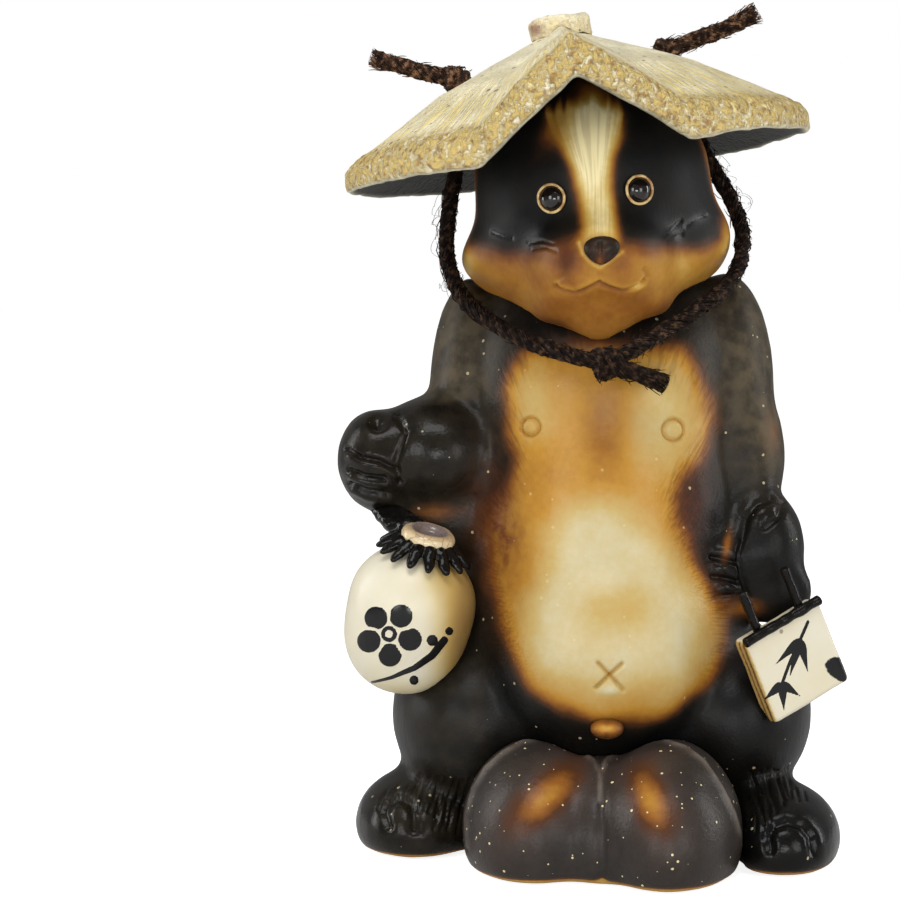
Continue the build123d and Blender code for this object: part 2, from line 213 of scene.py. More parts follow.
def shifted(path: Path2, columns: float, rows: float) -> Path2:
    """A path moved in the view."""
    return tuple((x + columns, y + rows) for x, y in path)


def primitive(kind: str, **settings: object) -> bpy.types.Object:
    """A new primitive of a kind, selected alone."""
    bpy.ops.object.select_all(action="DESELECT")
    getattr(bpy.ops.mesh, f"primitive_{kind}_add")(**settings)
    return bpy.context.object


def apply_modifier(piece: bpy.types.Object, kind: str, **settings: object) -> None:
    """Add a modifier, set it and apply it.

    Args:
        piece: The object that gets it.
        kind: Blender's name of the modifier.
        settings: Its properties.
    """
    bpy.ops.object.select_all(action="DESELECT")
    piece.select_set(True)
    bpy.context.view_layer.objects.active = piece
    modifier = piece.modifiers.new(kind.lower(), kind)
    for name, value in settings.items():
        setattr(modifier, name, value)
    bpy.ops.object.modifier_apply(modifier=modifier.name)


def merge_points(piece: bpy.types.Object, distance: float = 1e-6) -> None:
    """Join points that lie on each other."""
    mesh = bmesh.new()
    mesh.from_mesh(piece.data)
    bmesh.ops.remove_doubles(mesh, verts=mesh.verts, dist=distance)
    mesh.to_mesh(piece.data)
    mesh.free()


def join_pieces(name: str, pieces: list[bpy.types.Object]) -> bpy.types.Object:
    """Join objects into one of that name."""
    bpy.ops.object.select_all(action="DESELECT")
    for piece in pieces:
        piece.select_set(True)
    bpy.context.view_layer.objects.active = pieces[0]
    if len(pieces) > 1:
        bpy.ops.object.join()
    pieces[0].name = name
    return pieces[0]


def copy_of(node: str) -> bpy.types.Object:
    """A free copy of a CAD node's shape, its loose triangles joined."""
    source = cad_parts[node]
    piece = bpy.data.objects.new(node + "_copy", source.data.copy())
    bpy.context.collection.objects.link(piece)
    merge_points(piece)
    return piece


def smooth_faces(piece: bpy.types.Object) -> None:
    """Shade a piece smooth all over."""
    piece.data.polygons.foreach_set("use_smooth", [True] * len(piece.data.polygons))


def mesh_piece(name: str, points: list, faces: list) -> bpy.types.Object:
    """An object of the given points and faces."""
    mesh = bpy.data.meshes.new(name)
    mesh.from_pydata([tuple(point) for point in points], [], faces)
    piece = bpy.data.objects.new(name, mesh)
    bpy.context.collection.objects.link(piece)
    return piece


def hand_over(
    piece: bpy.types.Object, body: Body, finish: bpy.types.Material, nodes: tuple[str, ...]
) -> None:
    """Dress a finished piece, seat it on its body and report it.

    Args:
        piece: The finished object.
        body: What it rides on.
        finish: Its material.
        nodes: The CAD nodes it stands for.
    """
    piece.data.materials.clear()
    piece.data.materials.append(finish)
    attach(piece, body.value)
    if nodes:
        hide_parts(*nodes)
    log.info("%s: %d faces", piece.name, len(piece.data.polygons))


class Clay:
    """A casting in soft clay: one skin over CAD nodes, worked with tools and then painted."""

    def __init__(
        self, name: str, nodes: tuple[str, ...], voxel: float, soften: int, plugs: tuple = (),
        luting: tuple[float, int] | None = None, lumps_of_clay: tuple = (),
        thrown: tuple = (), stands_for: tuple[str, ...] = (),
    ) -> None:
        """Skin the nodes.

        Args:
            name: Name of the piece.
            nodes: CAD nodes under the skin.
            voxel: Size of the skin's squares.
            soften: How often corners are rubbed down.
            plugs: Places and sizes of the plugs that shut its vents.
            luting: Square size and rub count of a first, coarse skin that fills the joints.
            lumps_of_clay: Places and reaches of the eggs of clay pressed into the joints.
            thrown: Shapes made elsewhere that the skin also covers.
            stands_for: CAD nodes that it stands for without a copy of them.
        """
        pieces = [copy_of(node) for node in nodes] + list(thrown)
        for place, reach in lumps_of_clay:
            pieces.append(primitive("uv_sphere", radius=1.0, segments=48, ring_count=24, location=place))
            pieces[-1].scale = reach
            bpy.ops.object.transform_apply(location=True, scale=True)
        for place, radius, length in plugs:
            pieces.append(primitive("cylinder", radius=radius, depth=length, location=place))
            bpy.ops.object.transform_apply(location=True)
        self.piece = join_pieces(name, pieces)
        if luting:
            apply_modifier(self.piece, "REMESH", mode="VOXEL", voxel_size=luting[0])
            apply_modifier(self.piece, "SMOOTH", factor=0.5, iterations=luting[1])
        apply_modifier(self.piece, "REMESH", mode="VOXEL", voxel_size=voxel)
        apply_modifier(self.piece, "SMOOTH", factor=0.5, iterations=soften)
        self.nodes = nodes + stands_for
        self.vectors: dict[str, Array] = {}
        self.blank()

    def blank(self) -> None:
        """Take the skin as it is, with nothing pressed or painted yet."""
        self.read()
        self.shift = np.zeros(len(self.points))
        self.coats = {coat: np.zeros(len(self.points)) for coat in Coat}

    def refine(self, near: Array, cuts: int = 2) -> None:
        """Cut the skin finer where fine marks go.

        Args:
            near: Above 0.5 at the points whose faces are cut.
            cuts: Cuts across each edge.
        """
        mesh = bmesh.new()
        mesh.from_mesh(self.piece.data)
        mesh.verts.ensure_lookup_table()
        chosen = near > 0.5
        faces = [face for face in mesh.faces if any(chosen[vertex.index] for vertex in face.verts)]
        edges = {edge for face in faces for edge in face.edges}
        bmesh.ops.subdivide_edges(mesh, edges=list(edges), cuts=cuts, use_grid_fill=True, smooth=1.0)
        mesh.to_mesh(self.piece.data)
        mesh.free()
        self.blank()

    def reshape(self, points: Array) -> None:
        """Set the skin's points anew, before it is worked and painted."""
        self.piece.data.vertices.foreach_set("co", points.ravel())
        self.piece.data.update()
        self.read()

    def read(self) -> None:
        """Take the mesh's points, normals and places in the view."""
        mesh = self.piece.data
        count = len(mesh.vertices)
        points, normals = np.empty(count * 3), np.empty(count * 3)
        mesh.vertices.foreach_get("co", points)
        mesh.vertex_normals.foreach_get("vector", normals)
        self.points = points.reshape(-1, 3)
        self.normals = normals.reshape(-1, 3)
        self.spots = SIGHT.flatten(self.points)
        self.front = SIGHT.facing(self.points, self.normals)

    def line(self, path: Path2, width: float) -> Array:
        """A soft stroke along a path on the side that shows."""
        return np.exp(-((line_distance(self.spots, path) / width) ** 2)) * self.front

    def patch(self, outline: Path2, feather: float) -> Array:
        """A soft-edged patch on the side that shows."""
        return smooth_step(-feather, feather, depth_inside(self.spots, outline)) * self.front

    def spot(self, center: Spot, reach: Spot, lean: float = 0.0) -> Array:
        """A soft oval spot on the side that shows, leaning by degrees."""
        away = self.spots - np.array(center)
        cosine, sine = math.cos(math.radians(lean)), math.sin(math.radians(lean))
        along = (away[:, 0] * cosine + away[:, 1] * sine) / reach[0]
        across = (away[:, 1] * cosine - away[:, 0] * sine) / reach[1]
        return np.exp(-(along**2 + across**2)) * self.front

    def ring(self, center: Spot, radius: float, width: float) -> Array:
        """A soft ring on the side that shows."""
        away = np.linalg.norm(self.spots - np.array(center), axis=1)
        return np.exp(-(((away - radius) / width) ** 2)) * self.front

    def press(self, mask: Array, millimetres: float) -> None:
        """Press the clay in under a mask, or raise it where the depth is below 0."""
        self.shift -= mask * millimetres * MM

    def push(self, ovals: tuple[Oval, ...]) -> None:
        """Press ovals in by millimetres."""
        for oval in ovals:
            self.press(self.spot(oval.center, oval.reach, oval.lean) * oval.share, oval.amount)

    def groove(self, width: float, millimetres: float, *paths: Path2) -> None:
        """Press strokes of a half width in."""
        for path in paths:
            self.press(self.line(path, width), millimetres)

    def comb(self, rows: tuple[Combing, ...]) -> None:
        """Press rows of uneven strokes in."""
        for row in rows:
            rng = np.random.default_rng(row.seed)
            start, end = np.array(row.start), np.array(row.end)
            for share in np.linspace(0.0, 1.0, row.count):
                foot = start + (end - start) * share + rng.normal(0.0, 2.0, 2)
                run = np.array(row.run) * rng.uniform(0.6, 1.2)
                bow = np.array((-run[1], run[0])) * rng.uniform(-0.10, 0.10)
                path = (tuple(foot), tuple(foot + run * 0.5 + bow), tuple(foot + run))
                self.press(self.line(path, row.width * rng.uniform(0.8, 1.2)), row.depth * rng.uniform(0.6, 1.1))

    def lay(self, coat: Coat, mask: Array, value: float) -> None:
        """Bring a coat to a value under a mask."""
        self.coats[coat] = self.coats[coat] * (1.0 - mask) + value * mask

    def cover(self, coat: Coat, value: float) -> None:
        """Bring a coat to a value all over."""
        self.coats[coat] = np.full(len(self.points), value)

    def dab(self, coat: Coat, ovals: tuple[Oval, ...]) -> None:
        """Lay ovals of a coat."""
        for oval in ovals:
            self.lay(coat, self.spot(oval.center, oval.reach, oval.lean) * oval.share, oval.amount)

    def bare_foot(self) -> None:
        """Leave the bottom edge pale, where the glaze was wiped off."""
        self.lay(Coat.GLAZE, smooth_step(0.0026, 0.0012, self.points[:, 2]), 0.25)

    def roughen(self, size: float, millimetres: float, seed: int) -> None:
        """Leave the skin a little uneven."""
        self.shift += lumps(self.points, size, seed) * millimetres * MM

    def fire(self, body: Body, slot: str, finish: bpy.types.Material) -> None:
        """Set the worked shape and the coats, and hand the piece over.

        Args:
            body: What it rides on.
            slot: Not used.
            finish: Its material.
        """
        mesh = self.piece.data
        moved = self.points + self.normals * self.shift[:, None]
        moved[:, 2] = np.maximum(moved[:, 2], 0.0)
        mesh.vertices.foreach_set("co", moved.ravel())
        for coat, values in self.coats.items():
            mesh.attributes.new(coat.value, "FLOAT", "POINT").data.foreach_set("value", values)
        for name, values in self.vectors.items():
            mesh.attributes.new(name, "FLOAT_VECTOR", "POINT").data.foreach_set("vector", values.ravel())
        mesh.update()
        smooth_faces(self.piece)
        hand_over(self.piece, body, finish, self.nodes)


class Wiring:
    """A node tree and short ways to wire it."""

    def __init__(self, tree: bpy.types.NodeTree) -> None:
        """Start on an empty tree."""
        self.tree = tree
        tree.nodes.clear()

    def node(self, kind: str, inputs: dict, **settings: object) -> bpy.types.Node:
        """Add a node, set its properties and feed its inputs.

        Args:
            kind: Blender's type of the node.
            inputs: Values or sockets by input name or number.
            settings: The node's properties.

        Returns:
            The node.
        """
        made = self.tree.nodes.new(kind)
        for name, value in settings.items():
            setattr(made, name, value)
        for name, value in inputs.items():
            if isinstance(value, bpy.types.NodeSocket):
                self.tree.links.new(value, made.inputs[name])
            else:
                made.inputs[name].default_value = value
        return made

    def coordinates(self) -> bpy.types.NodeSocket:
        """The piece's own coordinates."""
        return self.node("ShaderNodeTexCoord", {}).outputs["Object"]

    def coat(self, coat: Coat) -> bpy.types.NodeSocket:
        """A painted coat."""
        return self.node("ShaderNodeAttribute", {}, attribute_name=coat.value).outputs["Fac"]

    def vector(self, name: str) -> bpy.types.NodeSocket:
        """A stored direction map."""
        return self.node("ShaderNodeAttribute", {}, attribute_name=name).outputs["Vector"]

    def math(self, work: str, first: object, second: object = 0.0, clamp: bool = False) -> bpy.types.NodeSocket:
        """One sum on two values."""
        return self.node("ShaderNodeMath", {0: first, 1: second}, operation=work, use_clamp=clamp).outputs[0]

    def times(self, first: object, second: object) -> bpy.types.NodeSocket:
        """The product of two values."""
        return self.math("MULTIPLY", first, second)

    def plus(self, first: object, second: object, clamp: bool = False) -> bpy.types.NodeSocket:
        """The sum of two values."""
        return self.math("ADD", first, second, clamp)

    def seen(self) -> bpy.types.NodeSocket:
        """1 where the camera looks, straight or through glass, and 0 for all other light."""
        path = self.node("ShaderNodeLightPath", {})
        return self.math("MAXIMUM", path.outputs["Is Camera Ray"], path.outputs["Is Transmission Ray"])

    def noise(self, vector: object, scale: float, detail: float = 2.0) -> bpy.types.NodeSocket:
        """Noise at a scale."""
        inputs = {"Vector": vector, "Scale": scale, "Detail": detail}
        return self.node("ShaderNodeTexNoise", inputs).outputs["Fac"]

    def stretch(self, vector: object, scale: Point3) -> bpy.types.NodeSocket:
        """A vector scaled a different amount each way."""
        return self.node("ShaderNodeMapping", {"Vector": vector, "Scale": scale}).outputs["Vector"]

    def between(self, value: object, low: float, high: float) -> bpy.types.NodeSocket:
        """A value eased from 0 at low to 1 at high."""
        inputs = {"Value": value, "From Min": low, "From Max": high}
        return self.node("ShaderNodeMapRange", inputs, interpolation_type="SMOOTHSTEP").outputs["Result"]

    def mix(self, share: object, first: object, second: object) -> bpy.types.NodeSocket:
        """Two colours mixed."""
        opaque = [value + (1.0,) if isinstance(value, tuple) else value for value in (first, second)]
        inputs = {0: share, 6: opaque[0], 7: opaque[1]}
        return self.node("ShaderNodeMix", inputs, data_type="RGBA").outputs[2]

    def blend(self, share: object, first: object, second: object) -> bpy.types.NodeSocket:
        """Two numbers mixed."""
        return self.node("ShaderNodeMix", {0: share, 2: first, 3: second}).outputs[0]

    def ramp(self, value: object, stops: tuple) -> bpy.types.NodeSocket:
        """A value turned to a colour by stops of place and colour."""
        made = self.node("ShaderNodeValToRGB", {"Fac": value})
        while len(made.color_ramp.elements) < len(stops):
            made.color_ramp.elements.new(0.5)
        for element, (place, colour) in zip(made.color_ramp.elements, stops):
            element.position = place
            element.color = colour + (1.0,)
        return made.outputs["Color"]

    def group(self, name: str, inputs: dict) -> bpy.types.NodeSocket:
        """A shared effect with its own values."""
        return self.node("ShaderNodeGroup", inputs, node_tree=bpy.data.node_groups[name]).outputs[0]

    def surface(self, colour: object, roughness: object, bumps: tuple, fixed: dict) -> None:
        """End the tree in a Principled surface.

        Args:
            colour: Base colour or its socket.
            roughness: Roughness or its socket.
            bumps: Height, strength and distance of each bump, finest last.
            fixed: Values set on the shader's own sockets.
        """
        normal = None
        for height, strength, distance in bumps:
            inputs = {"Height": height, "Strength": strength, "Distance": distance}
            if normal:
                inputs["Normal"] = normal
            normal = self.node("ShaderNodeBump", inputs).outputs["Normal"]
        base = colour + (1.0,) if isinstance(colour, tuple) else colour
        inputs = {"Base Color": base, "Roughness": roughness, **fixed}
        if normal:
            inputs["Normal"] = normal
        shader = self.node("ShaderNodeBsdfPrincipled", inputs)
        self.node("ShaderNodeOutputMaterial", {"Surface": shader.outputs[0]})


def new_material(name: str) -> tuple[bpy.types.Material, Wiring]:
    """A material with an empty tree."""
    material = bpy.data.materials.new(name)
    material.use_nodes = True
    return material, Wiring(material.node_tree)


def new_group(name: str, numbers: tuple[str, ...], output: str) -> tuple[Wiring, bpy.types.Node]:
    """A node group with a Vector input and number inputs.

    Args:
        name: Name of the group.
        numbers: Its number inputs.
        output: Its one number output.

    Returns:
        Its wiring and its input node.
    """
    tree = bpy.data.node_groups.new(name, "ShaderNodeTree")
    tree.interface.new_socket("Vector", in_out="INPUT", socket_type="NodeSocketVector")
    for number in numbers:
        tree.interface.new_socket(number, in_out="INPUT", socket_type="NodeSocketFloat")
    tree.interface.new_socket(output, in_out="OUTPUT", socket_type="NodeSocketFloat")
    wiring = Wiring(tree)
    return wiring, wiring.node("NodeGroupInput", {})


def build_groups() -> None:
    """Build the effects that several materials share."""
    wiring, given = new_group("Glaze clouds", ("Scale", "Amount"), "Value")
    noise = wiring.node(
        "ShaderNodeTexNoise", {"Vector": given.outputs["Vector"], "Scale": given.outputs["Scale"], "Detail": 5.0}
    )
    centred = wiring.math("SUBTRACT", noise.outputs["Fac"], 0.5)
    wiring.node("NodeGroupOutput", {0: wiring.times(centred, given.outputs["Amount"])})

    wiring, given = new_group("Kiln specks", ("Scale", "Share"), "Mask")
    cells = wiring.node(
        "ShaderNodeTexVoronoi", {"Vector": given.outputs["Vector"], "Scale": given.outputs["Scale"]}
    )
    chances = wiring.node("ShaderNodeSeparateColor", {0: cells.outputs["Color"]})
    chosen = wiring.math("LESS_THAN", chances.outputs[0], given.outputs["Share"])
    size = wiring.times(chances.outputs[1], 0.34)
    dot = wiring.math("LESS_THAN", cells.outputs["Distance"], size)
    wiring.node("NodeGroupOutput", {0: wiring.times(chosen, dot)})

    wiring, given = new_group("Comb strokes", ("Across", "Along"), "Mask")
    scales = wiring.node(
        "ShaderNodeCombineXYZ", {0: given.outputs["Across"], 1: given.outputs["Across"], 2: given.outputs["Along"]}
    )
    stretched = wiring.node(
        "ShaderNodeVectorMath", {0: given.outputs["Vector"], 1: scales.outputs[0]}, operation="MULTIPLY"
    )
    strokes = wiring.noise(stretched.outputs[0], 1.0, 2.0)
    wiring.node("NodeGroupOutput", {0: wiring.between(strokes, 0.42, 0.62)})


@dataclass(frozen=True)
class Stoneware:
    """A fired glaze that pools from cream through gold to near black."""

    name: str
    stops: tuple
    cloud_scale: float = 55.0
    cloud_amount: float = 0.22
    fine_scale: float = 420.0
    fine_amount: float = 0.10
    rust: Colour = (0.115, 0.030, 0.010)
    mottle: Colour = (0.105, 0.080, 0.046)
    fur: Colour = (0.055, 0.018, 0.008)
    fleck: Colour = (0.70, 0.60, 0.34)
    dry: float = 0.40
    wet: float = 0.12
    fur_across: float = 60.0
    fur_along: float = 130.0
    fleck_scale: float = 560.0
    fleck_share: float = 0.035
    bump: float = 0.25

    def material(self) -> bpy.types.Material:
        """Build the glaze."""
        material, wiring = new_material(self.name)
        place = wiring.coordinates()
        clouds = wiring.group(
            "Glaze clouds", {"Vector": place, "Scale": self.cloud_scale, "Amount": self.cloud_amount}
        )
        fine = wiring.group("Glaze clouds", {"Vector": place, "Scale": self.fine_scale, "Amount": self.fine_amount})
        depth = wiring.plus(wiring.plus(wiring.coat(Coat.GLAZE), clouds), fine, clamp=True)
        colour = wiring.ramp(depth, self.stops)
        patches = wiring.between(wiring.noise(place, 240.0, 4.0), 0.40, 0.66)
        rust_share = wiring.times(wiring.coat(Coat.RUST), wiring.blend(patches, 0.55, 1.0))
        colour = wiring.mix(rust_share, colour, self.rust)
        clay_show = wiring.blend(wiring.between(wiring.noise(place, 190.0, 6.0), 0.28, 0.74), 0.28, 1.0)
        mottle_share = wiring.times(wiring.coat(Coat.MOTTLE_AND_UNDERSIDE_SHADE), clay_show)
        colour = wiring.mix(mottle_share, colour, self.mottle)
        way = wiring.vector("way")
        strokes = wiring.group("Comb strokes", {"Vector": way, "Across": self.fur_across, "Along": self.fur_along})
        fur_share = wiring.times(wiring.coat(Coat.FUR), strokes)
        colour = wiring.mix(fur_share, colour, self.fur)
        specks = wiring.group(
            "Kiln specks", {"Vector": place, "Scale": self.fleck_scale, "Share": self.fleck_share}
        )
        fleck_share = wiring.times(wiring.coat(Coat.FLECK), specks)
        colour = wiring.mix(fleck_share, colour, self.fleck)
        roughness = wiring.blend(wiring.coat(Coat.WET), self.dry, self.wet)
        roughness = wiring.plus(roughness, wiring.times(mottle_share, 0.22), clamp=True)
        peel = wiring.noise(place, 900.0, 3.0)
        height = wiring.math("SUBTRACT", peel, wiring.times(fur_share, 1.6))
        height = wiring.plus(height, wiring.times(fleck_share, 0.8))
        wiring.surface(colour, roughness, ((height, self.bump, 0.0004),), {"Specular IOR Level": 0.17})
        return material


BODY_STOPS = (
    (0.0, (0.545, 0.485, 0.305)),
    (0.16, (0.480, 0.345, 0.125)),
    (0.34, (0.430, 0.215, 0.030)),
    (0.50, (0.250, 0.092, 0.014)),
    (0.66, (0.075, 0.028, 0.010)),
    (0.82, (0.012, 0.009, 0.006)),
    (1.0, (0.003, 0.003, 0.003)),
)
POUCH_STOPS = BODY_STOPS[:5] + ((0.82, (0.042, 0.034, 0.029)), (1.0, (0.016, 0.014, 0.012)))
FACE_STOPS = ((0.0, (0.960, 0.840, 0.470)), (0.16, (0.660, 0.470, 0.140))) + BODY_STOPS[2:]


@dataclass
class Torso:
    """Body, arms, feet and tail in one skin, with the cream belly and the fur marks on it."""

    voxel: float = 0.00150
    tail_root: float = 0.030
    fur_center: Point3 = (0.001, -0.03, 0.085)
    plugs: tuple = (((0.0, 0.0227, 0.004), 0.0075, 0.008), ((0.0, 0.0, 0.190), 0.0065, 0.012))
    nodes: tuple[str, ...] = (
        "body_casting", "flask_arm", "book_arm", "flask_fist", "book_paw", "flask_side_foot",
        "book_side_foot", "tail",
    )
    light_outline: Path2 = (
        (524, 352), (512, 372), (505, 392), (511, 410), (511, 433), (513, 463), (503, 495), (490, 516),
        (482, 538), (488, 571), (502, 616), (506, 640), (514, 662), (533, 688), (563, 709), (600, 722),
        (640, 720), (674, 708), (700, 687), (716, 666), (726, 640), (722, 612), (709, 588), (697, 564),
        (687, 541), (678, 517), (674, 496), (679, 478), (692, 464), (704, 446), (712, 422), (710, 396),
        (697, 372), (680, 352), (600, 338),
    )
    belly_outline: Path2 = (
        (566, 505), (545, 560), (527, 600), (522, 640), (534, 668), (556, 690), (588, 704), (622, 706),
        (660, 698), (690, 680), (704, 655), (708, 630), (700, 602), (684, 575), (668, 548), (650, 522),
        (630, 506), (600, 496),
    )
    navel_strokes: tuple[Path2, ...] = (((598, 663), (623, 690)), ((622, 664), (596, 688)))
    left_foot_crease: Path2 = (
        (388, 826), (384, 812), (388, 802), (398, 797), (409, 801), (414, 812), (414, 828),
    )
    right_foot_crease: Path2 = (
        (770, 850), (768, 836), (773, 826), (787, 821), (803, 825), (812, 836), (814, 852),
    )
    webs: tuple = (
        ((-0.0540, -0.0130, 0.1130), (0.0200, 0.0110, 0.0170)),
        ((0.0560, -0.0220, 0.0880), (0.0150, 0.0075, 0.0120)),
    )
    elbow_fold: Path2 = ((742, 535), (745, 518), (757, 504), (772, 498), (783, 503), (779, 516), (765, 527))
    nipples: tuple[tuple[Spot, float], ...] = (((530, 427), 9.0), ((674, 430), 10.5))
    fine_ovals: tuple[tuple[Spot, Spot], ...] = (
        ((530, 427), (24, 24)), ((674, 430), (24, 24)), ((609, 677), (24, 24)), ((762, 550), (56, 66)),
        ((375, 462), (40, 52)), ((430, 806), (58, 38)), ((775, 812), (52, 44)),
    )
    combings: tuple[Combing, ...] = (
        Combing((418, 776), (470, 780), 15, (-9, 34), 1.5, 0.55, 12),
        Combing((436, 800), (466, 806), 8, (-5, 30), 1.5, 0.45, 17),
        Combing((744, 772), (796, 768), 15, (9, 34), 1.5, 0.55, 13),
        Combing((748, 800), (770, 800), 6, (4, 34), 1.5, 0.45, 18),
        Combing((386, 792), (420, 782), 7, (-10, 18), 1.5, 0.4, 14),
        Combing((505, 496), (530, 540), 12, (-22, 8), 1.6, 0.35, 15),
        Combing((650, 350), (694, 382), 12, (-6, 22), 1.6, 0.4, 16),
    )
    swells: tuple[Oval, ...] = (Oval((609, 690), (12, 6), -0.5), Oval((762, 512), (12, 8), -1.0, -25))
    chest_glaze: tuple[Oval, ...] = (
        Oval((531, 405), (24, 40), 0.19), Oval((664, 415), (36, 60), 0.14, 8),
        Oval((604, 430), (20, 46), 0.47, share=0.8), Oval((625, 612), (40, 34), 0.30, share=0.55),
        Oval((772, 432), (14, 30), 0.45, share=0.7),
    )
    rust: tuple[Oval, ...] = (
        Oval((600, 425), (17, 40), 0.5, share=0.35), Oval((500, 535), (24, 56), 1.0, -8),
        Oval((690, 512), (14, 48), 0.6, 12),
    )
    elbow_mottle: tuple[Oval, ...] = (Oval((770, 432), (16, 34), 1.0),)
    forearm_wet: tuple[Oval, ...] = (Oval((420, 450), (80, 80), 0.75),)
    forearm_rows: Spot = (392, 408)
    forearm_columns: Spot = (500, 480)
    breast_fur: tuple[Oval, ...] = (Oval((668, 362), (36, 22), 0.25),)
    web_oval: Oval = Oval((436, 512), (34, 12), 0.46, share=0.8)
    wrist_glaze: tuple[Oval, ...] = (
        Oval((609, 690), (11, 5), 0.0), Oval((742, 608), (26, 12), 0.42, share=0.8),
        Oval((727, 545), (6, 22), 0.45, 10, 0.8),
    )
    belly_foot_rows: Spot = (655, 720)
    fur_foot_rows: Spot = (700, 640)

    def build(self) -> None:
        """Work, paint and fire the torso."""
        hands = Hands()
        webs = self.webs + hands.claws
        clay = Clay("torso_clay", self.nodes, self.voxel, 5, self.plugs, luting=(0.0020, 24), lumps_of_clay=webs)
        clay.refine(np.max([clay.spot(*oval) for oval in self.fine_ovals], axis=0) + 0.1)
        clay.front *= smooth_step(self.tail_root + 0.020, self.tail_root, clay.points[:, 1])
        self.work(clay)
        self.paint(clay)
        hands.work(clay)
        clay.dab(Coat.WET, hands.wet)
        clay.fire(Body.STATUE, "body_glaze", Stoneware("body_glaze", BODY_STOPS).material())

    def work(self, clay: Clay) -> None:
        """Press the nipples, navel, folds and fur in."""
        clay.roughen(0.012, 0.22, 3)
        clay.roughen(0.004, 0.07, 4)
        for center, radius in self.nipples:
            clay.press(clay.ring(center, radius, 1.9), 1.3)
            clay.push((Oval(center, (radius, radius), -0.8),))
        clay.groove(1.7, 1.5, *self.navel_strokes)
        clay.groove(5.0, 1.7, self.left_foot_crease, self.right_foot_crease)
        clay.comb(self.combings)
        clay.groove(4.0, 1.3, self.elbow_fold)
        clay.push(self.swells)

    def paint(self, clay: Clay) -> None:
        """Lay the belly, the halos, the mottled shoulders and the flecks."""
        front, points, (columns, rows) = clay.front, clay.points, clay.spots.T
        wander = lumps(points, 0.010, 8) * 5.0
        inside = depth_inside(clay.spots, self.light_outline)
        light = smooth_step(-19.0, 15.0, inside + wander) * front
        belly = smooth_step(-26.0, 30.0, depth_inside(clay.spots, self.belly_outline) + wander) * front
        clay.cover(Coat.GLAZE, 0.97)
        clay.lay(Coat.GLAZE, light, 0.37)
        clay.lay(Coat.GLAZE, belly, 0.05)
        clay.lay(Coat.GLAZE, belly * smooth_step(*self.belly_foot_rows, rows) * 0.8, 0.36)
        clay.dab(Coat.GLAZE, self.chest_glaze)
        clay.dab(Coat.RUST, self.rust)
        high = smooth_step(0.105, 0.165, points[:, 2])
        outer = smooth_step(0.022, 0.052, np.abs(points[:, 0])) * high
        behind = smooth_step(0.0, 0.035, points[:, 1]) * high
        clay.lay(Coat.MOTTLE_AND_UNDERSIDE_SHADE, np.maximum(outer, behind) * (1.0 - light), 0.85)
        forearm = smooth_step(*self.forearm_rows, rows) * smooth_step(*self.forearm_columns, columns)
        clay.lay(Coat.MOTTLE_AND_UNDERSIDE_SHADE, forearm * front, 0.12)
        clay.dab(Coat.MOTTLE_AND_UNDERSIDE_SHADE, self.elbow_mottle)
        clay.cover(Coat.FLECK, 0.5)
        clay.lay(Coat.FLECK, light, 0.25)
        clay.lay(Coat.WET, smooth_step(0.030, 0.012, points[:, 2]), 0.7)
        clay.dab(Coat.WET, self.forearm_wet)
        clay.lay(Coat.WET, light, 0.35)
        edge = np.exp(-(((inside + 2.0) / 13.0) ** 2)) * front
        clay.lay(Coat.FUR, edge * smooth_step(*self.fur_foot_rows, rows), 0.45)
        clay.dab(Coat.FUR, self.breast_fur)
        away = points - np.array(self.fur_center)
        reach = np.linalg.norm(away, axis=1, keepdims=True)
        clay.vectors["way"] = np.concatenate([(away / reach)[:, [0, 2]], reach], axis=1)
        for center, radius in self.nipples:
            clay.lay(Coat.GLAZE, clay.ring(center, radius, 1.5) * 0.45, 0.50)
        for stroke in self.navel_strokes:
            clay.lay(Coat.GLAZE, clay.line(stroke, 1.6) * 0.7, 0.36)
        web = clay.spot(self.web_oval.center, self.web_oval.reach) * smooth_step(0.004, -0.004, points[:, 1])
        clay.lay(Coat.GLAZE, web * self.web_oval.share, self.web_oval.amount)
        clay.dab(Coat.GLAZE, self.wrist_glaze)
        clay.bare_foot()


